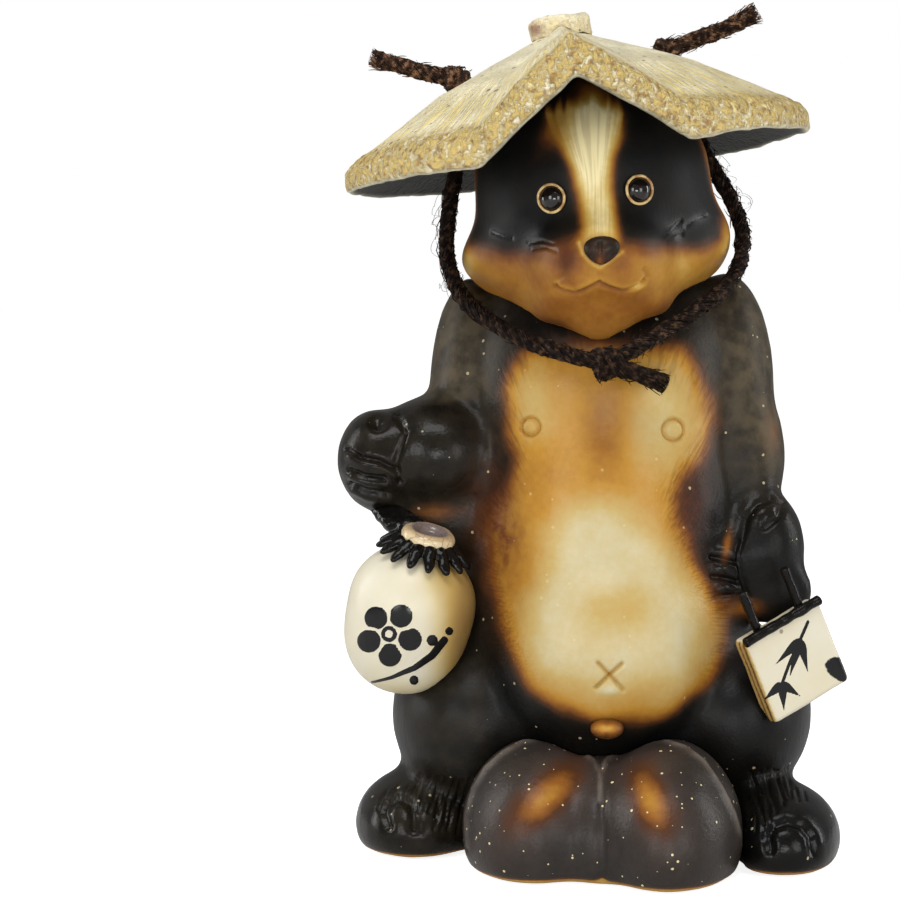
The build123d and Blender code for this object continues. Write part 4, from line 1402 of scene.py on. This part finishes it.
@dataclass
class Flask:
    """The cream sake flask, its dished lip, and the fringed clay cord round its neck."""

    place: Point3 = (-63.865, -29.16, 79.97)
    tip: float = 13.0
    lean: float = 14.0
    height: float = 49.0
    blossom: tuple = (
        ((376, 618), 11.5), ((401, 616), 11.5), ((410, 639), 11.5), ((390, 655), 11.5), ((369, 641), 11.5),
        ((389, 634), 8.0),
    )
    blossom_heart: tuple[float, float] = (389, 634)
    petal_gaps: tuple[Path2, ...] = (
        ((389, 622), (389, 602)), ((401, 630), (416, 626)), ((397, 645), (406, 658)), ((382, 646), (374, 658)),
        ((378, 630), (362, 627)),
    )
    twig: Path2 = ((372, 682), (392, 677), (414, 668), (432, 655), (444, 640))
    buds: tuple = (((432, 640), 5.5), ((414, 680), 4.5), ((449, 631), 4.0))
    stain_columns: Spot = (418, 466)
    foot_rows: Spot = (672, 696)
    twig_columns: Spot = (372, 440)
    stains: tuple[Oval, ...] = (Oval((452, 574), (26, 20), 0.36), Oval((468, 620), (12, 60), 0.50))
    rim_radius: float = 6.4
    rim_thickness: float = 2.7
    neck_radius: float = 6.3

    def build(self) -> None:
        """Work, paint and fire the flask, its lip and its cord."""
        jar = Clay("sake_flask_clay", ("sake_flask",), 0.0006, 8)
        jar.roughen(0.012, 0.25, 61)
        jar.cover(Coat.GLAZE, 0.03)
        jar.lay(Coat.GLAZE, smooth_step(*self.stain_columns, jar.spots[:, 0]), 0.50)
        jar.dab(Coat.GLAZE, self.stains)
        jar.lay(Coat.GLAZE, smooth_step(*self.foot_rows, jar.spots[:, 1]) * 0.6, 0.26)
        jar.coats[Coat.FUR] = self.brushwork(jar)
        jar.press(jar.coats[Coat.FUR], -0.15)
        jar.fire(Body.STATUE, "cream_glaze", BrushedCream("flask_cream").material())
        lip = self.lip()
        local = in_frame(self.neck_frame(), lip.points) / MM
        reach = np.linalg.norm(local[:, :2], axis=1)
        lip.roughen(0.004, 0.2, 62)
        lip.cover(Coat.GLAZE, 0.10)
        lip.lay(Coat.RUST, smooth_step(7.6, 5.4, reach) * smooth_step(3.0, 4.2, local[:, 2]), 0.9)
        lip.lay(Coat.GLAZE, np.exp(-(((reach - 7.4) / 1.0) ** 2)) * smooth_step(4.0, 5.5, local[:, 2]) * 0.7, 0.7)
        lip.lay(Coat.GLAZE, smooth_step(2.6, 1.0, local[:, 2]) * 0.6, 0.7)
        lip.fire(Body.STATUE, "lip_glaze", LipGlaze().material())
        cord = Clay("flask_cord_clay", ("flask_cord",), 0.00042, 4)
        around = in_frame(self.neck_frame(), cord.points)
        near = smooth_step(0.016, 0.012, np.linalg.norm(around, axis=1))
        around[:, :2] *= (1.0 - 0.14 * near)[:, None]
        around[:, 2] += 0.0022 * near
        matrix = np.array(self.neck_frame())
        cord.reshape(around @ matrix[:3, :3].T + matrix[:3, 3])
        cord.roughen(0.0022, 0.35, 63)
        cord.cover(Coat.GLAZE, 0.96)
        cord.cover(Coat.WET, 0.9)
        finish = Stoneware("cord_glaze", BODY_STOPS, cloud_amount=0.06, wet=0.07, bump=0.3)
        cord.fire(Body.STATUE, "dark_glaze", finish.material())

    def brushwork(self, jar: Clay) -> Array:
        """The brushed blossom, its buds and its twig, from 0 to 1."""
        inked = np.zeros(len(jar.points))
        for center, size in self.blossom + self.buds:
            away = np.linalg.norm(jar.spots - np.array(center), axis=1)
            inked = np.maximum(inked, smooth_step(size + 1.0, size - 1.0, away) * jar.front)
        thin = 1.3 + 2.6 * smooth_step(*self.twig_columns, jar.spots[:, 0])
        twig = smooth_step(1.0, -1.0, line_distance(jar.spots, self.twig) - thin) * jar.front
        inked = np.maximum(inked, twig)
        for gap in self.petal_gaps:
            inked *= 1.0 - smooth_step(1.8, 0.8, line_distance(jar.spots, gap))
        from_heart = np.linalg.norm(jar.spots - np.array(self.blossom_heart), axis=1)
        return inked * (1.0 - smooth_step(4.6, 3.4, from_heart))

    def neck_frame(self) -> Matrix:
        """The frame at the foot of the neck."""
        turn = turned(x=self.tip) @ turned(y=self.lean)
        return at(*self.place) @ turn @ at(0.0, 0.0, self.height / 2)

    def lip(self) -> Clay:
        """Throw the lip: a fat rolled rim round a dished mouth, on the short neck."""
        rim = primitive(
            "torus", major_radius=self.rim_radius * MM, minor_radius=self.rim_thickness * MM, major_segments=64,
            minor_segments=24,
        )
        rim.data.transform(at(0.0, 0.0, 4.4))
        neck = primitive("cylinder", radius=self.neck_radius * MM, depth=6.0 * MM, vertices=64)
        neck.data.transform(at(0.0, 0.0, 1.8))
        thrown = join_pieces("lip_thrown", [rim, neck])
        thrown.data.transform(self.neck_frame())
        return Clay("flask_lip_clay", (), 0.0004, 10, thrown=(thrown,), stands_for=("flask_lip",))


@dataclass
class Book:
    """The account book with its curled corner, page edges, rolled binding and two cords."""

    place: Point3 = (62.275, -35.64, 66.64)
    yaw: float = 28.0
    roll: float = 24.0
    leaves: tuple[Path2, ...] = (
        ((800, 640), (776, 664)), ((800, 640), (790, 676)), ((800, 640), (808, 672)),
        ((782, 684), (764, 700)), ((782, 684), (784, 710)), ((782, 684), (800, 696)),
    )
    stalk: Path2 = ((808, 622), (800, 640), (790, 662), (782, 684))
    curled_corner: Oval = Oval((845, 670), (20, 12), 1.3, 20)

    def build(self) -> None:
        """Work, paint and fire the book, the binding and the cords."""
        block = at(*self.place) @ turned(z=self.yaw) @ turned(y=-self.roll)
        clay = Clay("account_book_clay", ("account_book",), 0.00048, 5)
        local = in_frame(block, clay.points) / MM
        facing = in_frame(block, clay.points + clay.normals) - in_frame(block, clay.points)
        clay.roughen(0.009, 0.2, 71)
        page_edge = smooth_step(0.5, 0.85, -facing[:, 0])
        pages = np.sin(local[:, 1] * 2.6 + 0.8 * lumps(clay.points, 0.006, 72))
        clay.press(page_edge * pages, 0.35)
        clay.cover(Coat.GLAZE, 0.04)
        clay.lay(Coat.GLAZE, page_edge, 0.45)
        clay.lay(Coat.GLAZE, page_edge * smooth_step(0.1, 0.9, pages), 0.85)
        back = smooth_step(0.3, 0.7, facing[:, 1])
        clay.lay(Coat.GLAZE, back * smooth_step(0.0, 0.6, -facing[:, 0]), 0.4)
        clay.coats[Coat.FUR] = self.brushwork(clay)
        clay.fire(Body.STATUE, "cream_glaze", BrushedCream("book_cream").material())
        for node, seed in (("book_binding", 73), ("book_cords", 74)):
            trim = Clay(node + "_clay", (node,), 0.0004, 4)
            trim.roughen(0.003, 0.25, seed)
            trim.cover(Coat.GLAZE, 0.95)
            trim.cover(Coat.WET, 0.7)
            finish = Stoneware(node + "_glaze", BODY_STOPS, cloud_amount=0.12, wet=0.08, bump=0.3)
            trim.fire(Body.STATUE, "dark_glaze", finish.material())

    def brushwork(self, clay: Clay) -> Array:
        """The brushed leaves, their stalk and the dark corner, from 0 to 1."""
        corner = self.curled_corner
        inked = clay.spot(corner.center, corner.reach, corner.lean) * corner.amount
        for root, tip in self.leaves:
            run = np.array(tip) - np.array(root)
            share = np.clip((clay.spots - np.array(root)) @ run / (run @ run), 0.0, 1.0)
            width = 0.3 + 4.6 * np.sin(math.pi * np.sqrt(share)) * (1.0 - 0.4 * share)
            gap = line_distance(clay.spots, (root, tip)) - width
            inked = np.maximum(inked, smooth_step(0.8, -0.8, gap) * clay.front)
        stalk = smooth_step(2.2, 1.0, line_distance(clay.spots, self.stalk)) * clay.front
        return np.clip(np.maximum(inked, stalk), 0.0, 1.0)


class Strand:
    """A smooth spline read once, with even steps and a frame that doesn't twist."""

    def __init__(self, route: tuple[Point3, ...], step: float = 0.0008) -> None:
        """Read the spline through a route.

        Args:
            route: Control points in metres.
            step: Distance between the points read.
        """
        curve = bpy.data.curves.new("route", "CURVE")
        curve.dimensions = "3D"
        spline = curve.splines.new("NURBS")
        spline.points.add(len(route) - 1)
        for point, place in zip(spline.points, route):
            point.co = (*place, 1.0)
        spline.order_u = 3
        spline.use_endpoint_u = True
        spline.resolution_u = 24
        holder = bpy.data.objects.new("route", curve)
        mesh = bpy.data.meshes.new_from_object(holder)
        line = np.array([vertex.co for vertex in mesh.vertices])
        bpy.data.objects.remove(holder)
        bpy.data.curves.remove(curve)
        bpy.data.meshes.remove(mesh)
        runs = np.linalg.norm(np.diff(line, axis=0), axis=1)
        along = np.concatenate([[0.0], np.cumsum(runs)])
        self.length = float(along[-1])
        count = max(int(self.length / step), 4)
        marks = np.linspace(0.0, self.length, count + 1)
        self.line = np.stack([np.interp(marks, along, line[:, axis]) for axis in range(3)], axis=1)
        heading = np.gradient(self.line, axis=0)
        heading /= np.linalg.norm(heading, axis=1, keepdims=True)
        side = np.cross(heading[0], (0.0, 0.0, 1.0))
        if np.linalg.norm(side) < 0.1:
            side = np.cross(heading[0], (1.0, 0.0, 0.0))
        sides = []
        for way in heading:
            side = side - way * (side @ way)
            side = side / np.linalg.norm(side)
            sides.append(side)
        self.heading = heading
        self.side = np.array(sides)
        self.up = np.cross(self.heading, self.side)


def tube_mesh(line: Array, side: Array, up: Array, radii: Array, corners: int) -> tuple[list, list]:
    """Points and faces of a tube.

    Args:
        line: Its centreline.
        side: One direction across it at each point.
        up: The other direction across it.
        radii: Its radius at each point.
        corners: Corners of its section.

    Returns:
        Points and faces.
    """
    points, faces = [], []
    turns = [2.0 * math.pi * corner / corners for corner in range(corners)]
    for center, across, over, radius in zip(line, side, up, radii):
        points += [center + radius * (math.cos(turn) * across + math.sin(turn) * over) for turn in turns]
    for ring in range(len(line) - 1):
        low, high = ring * corners, (ring + 1) * corners
        for corner in range(corners):
            nxt = (corner + 1) % corners
            faces.append((low + corner, low + nxt, high + nxt, high + corner))
    faces.append(tuple(reversed(range(corners))))
    faces.append(tuple(range((len(line) - 1) * corners, len(line) * corners)))
    return points, faces


def gather(parts: list[tuple[list, list]]) -> tuple[list, list]:
    """Several meshes' points and faces as one."""
    points, faces = [], []
    for some_points, some_faces in parts:
        start = len(points)
        points += list(some_points)
        faces += [tuple(start + index for index in face) for face in some_faces]
    return points, faces


@dataclass
class PalmRope:
    """Rope of dark palm fibre: three twisted strands, loose fibres on them and frayed ends."""

    diameter: float = 0.005
    lay: float = 0.020
    strands: int = 3
    fibre_length: Spot = (0.010, 0.030)
    fibre_thickness: Spot = (0.00012, 0.00030)
    frayed_thickness: Spot = (0.0003, 0.0006)
    curl_length: Spot = (0.006, 0.012)
    curl_rise: Spot = (0.0008, 0.0042)
    curl_thickness: float = 0.00008

    def core(self, strand: Strand, thin_ends: bool, seed: int, girth: float = 1.0) -> tuple[list, list]:
        """The twisted strands along a line.

        Args:
            strand: The rope's line.
            thin_ends: Whether it thins out towards its end.
            seed: Which unevenness.
            girth: Its thickness as a share of the rope's.

        Returns:
            Points and faces.
        """
        rng = np.random.default_rng(seed)
        count = len(strand.line)
        marks = np.linspace(0.0, strand.length, count)
        thinning = np.clip(1.10 - 0.75 * (marks / strand.length) ** 2, 0.2, 1.0) if thin_ends else np.ones(count)
        parts = []
        for index in range(self.strands):
            turn = 2.0 * math.pi * (marks / self.lay + index / self.strands)
            wobble = 1.0 + 0.20 * np.sin(marks * 700.0 + rng.random() * 6.0)
            offset = 0.225 * self.diameter * wobble * girth * (0.3 + 0.7 * thinning)
            line = (
                strand.line
                + (offset * np.cos(turn))[:, None] * strand.side
                + (offset * np.sin(turn))[:, None] * strand.up
            )
            radii = 0.26 * self.diameter * girth * thinning * (1.0 + 0.13 * rng.standard_normal(count))
            parts.append(tube_mesh(line, strand.side, strand.up, radii, 9))
        return gather(parts)

    def fibres(self, strand: Strand, count: int, seed: int, fray: float = 0.0) -> tuple[list, list]:
        """Loose fibres that wind along the rope and lift off it here and there.

        Args:
            strand: The rope's line.
            count: How many fibres.
            seed: Which set.
            fray: How far fibres run past the line's end, in metres.

        Returns:
            Points and faces.
        """
        rng = np.random.default_rng(seed)
        parts = []
        for _ in range(count):
            length = rng.uniform(*self.fibre_length)
            start = rng.uniform(-0.002, max(strand.length - 0.6 * length, 0.001))
            marks = np.linspace(start, start + length, 9)
            spin = rng.uniform(0.0, 2.0 * math.pi)
            turn = spin + 2.0 * math.pi * marks / (self.lay * rng.uniform(0.8, 1.6))
            lift = rng.uniform(0.0, 1.0) ** 5 * 0.0020
            share = np.linspace(-1.0, 1.0, 9)
            radius = 0.49 * self.diameter + lift * share**2 + rng.normal(0.0, 0.00012, 9)
            line, side, up = self.places(strand, np.clip(marks, 0.0, strand.length + fray))
            line = line + (radius * np.cos(turn))[:, None] * side + (radius * np.sin(turn))[:, None] * up
            thick = np.full(9, rng.uniform(*self.fibre_thickness))
            thick[[0, -1]] *= 0.4
            parts.append(tube_mesh(line, side, up, thick, 3))
        for _ in range(int(count * 0.7) if fray else 0):
            marks = np.linspace(strand.length - 0.008, strand.length + fray * rng.uniform(0.3, 1.0), 7)
            spin = rng.uniform(0.0, 2.0 * math.pi)
            spread = np.linspace(0.3, rng.uniform(0.3, 1.3), 7) * self.diameter * rng.uniform(0.3, 0.8)
            line, side, up = self.places(strand, marks)
            line = line + (spread * math.cos(spin))[:, None] * side + (spread * math.sin(spin))[:, None] * up
            line += rng.normal(0.0, 0.00018, line.shape)
            thick = np.linspace(rng.uniform(*self.frayed_thickness), 0.00012, 7)
            parts.append(tube_mesh(line, side, up, thick, 3))
        return gather(parts)

    def places(self, strand: Strand, marks: Array) -> tuple[Array, Array, Array]:
        """Points and frames at distances along a line, straight on past its end."""
        steps = np.linspace(0.0, strand.length, len(strand.line))
        inside = np.clip(marks, 0.0, strand.length)
        line, side, up = (
            np.stack([np.interp(inside, steps, source[:, axis]) for axis in range(3)], axis=1)
            for source in (strand.line, strand.side, strand.up)
        )
        line = line + (marks - inside)[:, None] * strand.heading[-1]
        return line, side, up

    def curls(self, strand: Strand, marks: tuple[float, ...], way: Point3, seed: int) -> tuple[list, list]:
        """Stray fibres that loop well clear of the rope.

        Args:
            strand: The rope's line.
            marks: Shares of the line where they leave it.
            way: The direction they stand off.
            seed: Which set.

        Returns:
            Points and faces.
        """
        rng = np.random.default_rng(seed)
        parts = []
        for mark in marks:
            span = rng.uniform(*self.curl_length)
            start = mark * strand.length
            steps = np.linspace(0.0, 1.0, 14)
            line, side, up = self.places(strand, np.clip(start + span * steps, 0.0, strand.length))
            bow = np.sin(math.pi * steps ** rng.uniform(0.6, 1.6)) * rng.uniform(*self.curl_rise)
            wave = 0.0014 * np.sin(steps * rng.uniform(5.0, 14.0) + rng.uniform(0.0, 6.0))
            drift = 0.0012 * np.cos(steps * rng.uniform(6.0, 16.0) + rng.uniform(0.0, 6.0))
            line = line + (0.0023 + bow)[:, None] * np.array(way) + wave[:, None] * up
            line = line + drift[:, None] * strand.heading[len(strand.heading) // 4]
            parts.append(tube_mesh(line, side, up, np.full(14, self.curl_thickness), 3))
        return gather(parts)


@dataclass(frozen=True)
class PalmFibre:
    """Palm fibre with paler threads."""

    name: str
    strength: float
    shades: tuple = (
        (0.0, (0.012, 0.006, 0.004)), (0.5, (0.045, 0.021, 0.011)), (0.8, (0.120, 0.060, 0.032)),
        (1.0, (0.25, 0.135, 0.072)),
    )

    def material(self) -> bpy.types.Material:
        """Build the fibre's surface."""
        material, wiring = new_material(self.name)
        place = wiring.coordinates()
        tone = wiring.between(wiring.noise(place, 520.0, 4.0), 0.36, 0.66)
        stops = tuple((stop, tuple(part * self.strength for part in shade)) for stop, shade in self.shades)
        colour = wiring.ramp(tone, stops)
        threads = wiring.noise(wiring.stretch(place, (1.0, 1.0, 0.4)), 2600.0, 2.0)
        wiring.surface(colour, 0.66, ((threads, 0.6, 0.0004),), {"Specular IOR Level": 0.15})
        return material


@dataclass(frozen=True)
class Knot:
    """A tied knot with its frayed tail: its piece and node, its place, reach and depth, its tail and fibres."""

    piece: str
    node: str
    body: Body
    center: Point3
    size: float
    flat: float
    seed: int
    tail: tuple[Point3, ...]


@dataclass(frozen=True)
class ChinCord:
    """One side's cord to the chin: its route, its fibres' seed, and where and which way stray fibres stand off."""

    side: str
    seed: int
    way: Point3
    marks: tuple[float, ...]
    route: tuple[Point3, ...]


@dataclass
class Ropes:
    """The chin cords, their knot and tail, and the two stopper knots with theirs."""

    rope: PalmRope = field(default_factory=PalmRope)
    chin_knot: Knot = Knot(
        "chin_knot_rope", "chin_knot", Body.CHIN_LOOP, (0.0010, -0.0505, 0.1650), 0.0052, 0.74, 5,
        (
            (0.0010, -0.0510, 0.1650), (0.0070, -0.0525, 0.1630), (0.0130, -0.0520, 0.1612),
            (0.0160, -0.0514, 0.1600),
        ),
    )
    stopper_knots: tuple[Knot, ...] = (
        Knot(
            "flask_side_knot_rope", "flask_side_stopper_knot", Body.HAT, (-0.0499, 0.0093, 0.2587), 0.0042, 1.0, 6,
            (
                (-0.0499, 0.0093, 0.2587), (-0.0575, 0.0095, 0.2598), (-0.0670, 0.0105, 0.2630),
                (-0.0735, 0.0110, 0.2648),
            ),
        ),
        Knot(
            "book_side_knot_rope", "book_side_stopper_knot", Body.HAT, (0.0223, 0.0163, 0.2684), 0.0042, 1.0, 7,
            (
                (0.0223, 0.0163, 0.2684), (0.0320, 0.0158, 0.2726), (0.0425, 0.0155, 0.2760),
                (0.0487, 0.0152, 0.2795),
            ),
        ),
    )
    chin_cords: tuple[ChinCord, ...] = (
        ChinCord(
            "flask_side", 101, (-1.0, 0.0, 0.0), (0.20, 0.21, 0.23, 0.24, 0.26, 0.28, 0.30, 0.44, 0.46, 0.49),
            (
                (-0.0477, 0.0083, 0.2432), (-0.0490, 0.0050, 0.2300), (-0.0515, -0.0020, 0.2140),
                (-0.0523, -0.0110, 0.1985), (-0.0470, -0.0225, 0.1860), (-0.0365, -0.0335, 0.1775),
                (-0.0240, -0.0425, 0.1715), (-0.0100, -0.0488, 0.1670), (0.0005, -0.0500, 0.1650),
            ),
        ),
        ChinCord(
            "book_side", 102, (1.0, 0.0, 0.2), (0.16, 0.18, 0.21, 0.27, 0.30),
            (
                (0.0245, 0.0153, 0.2529), (0.0310, 0.0145, 0.2410), (0.0380, 0.0105, 0.2280),
                (0.0450, 0.0030, 0.2160), (0.0482, -0.0065, 0.2030), (0.0440, -0.0175, 0.1915),
                (0.0345, -0.0285, 0.1835), (0.0235, -0.0380, 0.1765), (0.0120, -0.0460, 0.1700),
                (0.0015, -0.0500, 0.1650),
            ),
        ),
    )

    def build(self) -> None:
        finish = PalmFibre("palm_fibre_dark", 0.30).material()
        knot = self.knot(self.chin_knot, finish)
        for cord in self.chin_cords:
            strand = Strand(cord.route)
            core = [self.rope.core(strand, False, cord.seed)]
            line = self.piece(cord.side + "_chin_rope", core, Body.CHIN_LOOP, finish)
            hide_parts(cord.side + "_chin_cord")
            loose = [
                self.rope.fibres(strand, 340, cord.seed + 10),
                self.rope.curls(strand, cord.marks, cord.way, cord.seed + 20),
            ]
            fibres = self.piece(cord.side + "_chin_fibres", loose, Body.CHIN_LOOP, finish)
            log.info("%s cord is %.1f mm long", cord.side, strand.length / MM)
        finish = PalmFibre("palm_fibre_brown", 1.0).material()
        for stopper in self.stopper_knots:
            self.knot(stopper, finish)

    def piece(self, name: str, parts: list, body: Body, finish: bpy.types.Material) -> bpy.types.Object:
        """A rope piece from its meshes.

        Args:
            name: Name of the piece.
            parts: Points and faces of each mesh.
            body: What it rides on.
            finish: Its material.

        Returns:
            The piece.
        """
        made = mesh_piece(name, *gather(parts))
        smooth_faces(made)
        hand_over(made, body, finish, ())
        return made

    def knot(self, knot: Knot, finish: bpy.types.Material) -> bpy.types.Object:
        """Tie a knot and lay its tail.

        Args:
            knot: The knot.
            finish: Its material.

        Returns:
            The piece.
        """
        center, size = knot.center, knot.size
        turns = np.linspace(0.0, 2.0 * math.pi, 15)[:-1]
        loops = [
            (
                center[0] + size * 0.42 * (math.sin(turn) + 2.0 * math.sin(2.0 * turn)) / 1.6,
                center[1] + knot.flat * size * 0.5 * -math.sin(3.0 * turn),
                center[2] + size * 0.40 * (math.cos(turn) - 2.0 * math.cos(2.0 * turn)) / 1.6,
            )
            for turn in turns
        ]
        bends, end, rope = Strand(tuple(loops + loops[:1])), Strand(knot.tail), self.rope
        parts = [
            rope.core(bends, False, knot.seed), rope.fibres(bends, 110, knot.seed + 30),
            rope.core(end, True, knot.seed + 40, knot.flat), rope.fibres(end, 160, knot.seed + 50, fray=0.0050),
        ]
        made = self.piece(knot.piece, parts, knot.body, finish)
        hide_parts(knot.node)
        return made


class Lamp(NamedTuple):
    """A soft rectangular lamp: its place, its two sides and its power."""

    name: str
    place: Point3
    sides: Spot
    power: float


@dataclass
class Studio:
    """Pale floor and backdrop, soft lamps and an even surround."""

    surround: float = 0.30
    floor_glow: float = 0.85
    floor_side: float = 14.0
    floor_drop: float = 0.0004
    aim: Point3 = (0.0, -0.02, 0.14)
    lamps: tuple[Lamp, ...] = (
        Lamp("key", (-0.62, -1.05, 0.30), (0.40, 0.50), 3.6),
        Lamp("fill", (0.70, -1.00, 0.24), (0.40, 0.50), 3.0),
        Lamp("front", (0.04, -1.25, 0.08), (0.40, 0.25), 3.4),
        Lamp("top", (-0.10, -0.55, 1.10), (0.70, 0.50), 6.5),
        Lamp("strip_left", (-0.75, 0.10, 0.35), (0.15, 0.60), 2.2),
        Lamp("strip_right", (0.75, 0.10, 0.35), (0.15, 0.60), 2.2),
    )

    def build(self) -> None:
        """Set the stage and the light."""
        SIGHT.set_camera()
        bpy.context.scene.view_settings.view_transform = "Standard"
        self.lay_floor()
        self.hang_lamps()
        world = bpy.data.worlds.new("surround")
        bpy.context.scene.world = world
        world.use_nodes = True
        wiring = Wiring(world.node_tree)
        strength = wiring.blend(wiring.seen(), self.surround, 1.0)
        back = wiring.node("ShaderNodeBackground", {"Color": (1.0, 1.0, 1.0, 1.0), "Strength": strength})
        wiring.node("ShaderNodeOutputWorld", {"Surface": back.outputs[0]})

    def lay_floor(self) -> None:
        """A broad pale floor that runs on into the backdrop."""
        floor = primitive("plane", size=1.0, location=(0.0, 0.0, -self.floor_drop))
        floor.name = "floor"
        floor.scale = (self.floor_side, self.floor_side, 1.0)
        bpy.ops.object.transform_apply(location=True, scale=True)
        material, wiring = new_material("floor_white")
        glow = wiring.times(wiring.seen(), self.floor_glow)
        shade = wiring.node("ShaderNodeBsdfPrincipled", {
            "Base Color": (0.80, 0.80, 0.80, 1.0), "Roughness": 0.9, "Emission Strength": glow,
            "Emission Color": (1.0, 1.0, 1.0, 1.0),
        })
        wiring.node("ShaderNodeOutputMaterial", {"Surface": shade.outputs[0]})
        floor.data.materials.append(material)

    def hang_lamps(self) -> None:
        """A broad key, a fill, a front and a top lamp, and two strips, all turned to the statue."""
        for name, place, sides, power in self.lamps:
            data = bpy.data.lights.new(name, "AREA")
            data.shape = "RECTANGLE"
            data.size, data.size_y = sides
            data.energy = power
            lamp = bpy.data.objects.new(name, data)
            lamp.location = place
            lamp.rotation_euler = (Vector(self.aim) - Vector(place)).to_track_quat("-Z", "Y").to_euler()
            bpy.context.collection.objects.link(lamp)


def main() -> None:
    """Build the statue piece by piece."""
    logging.basicConfig(level=logging.INFO, format="%(message)s")
    build_groups()
    for part in (Studio(), Ropes(), Torso(), Head(), Eyes(), Nose(), Pouch(), Flask(), Book(), Hat()):
        part.build()


if __name__ == "__main__":
    main()
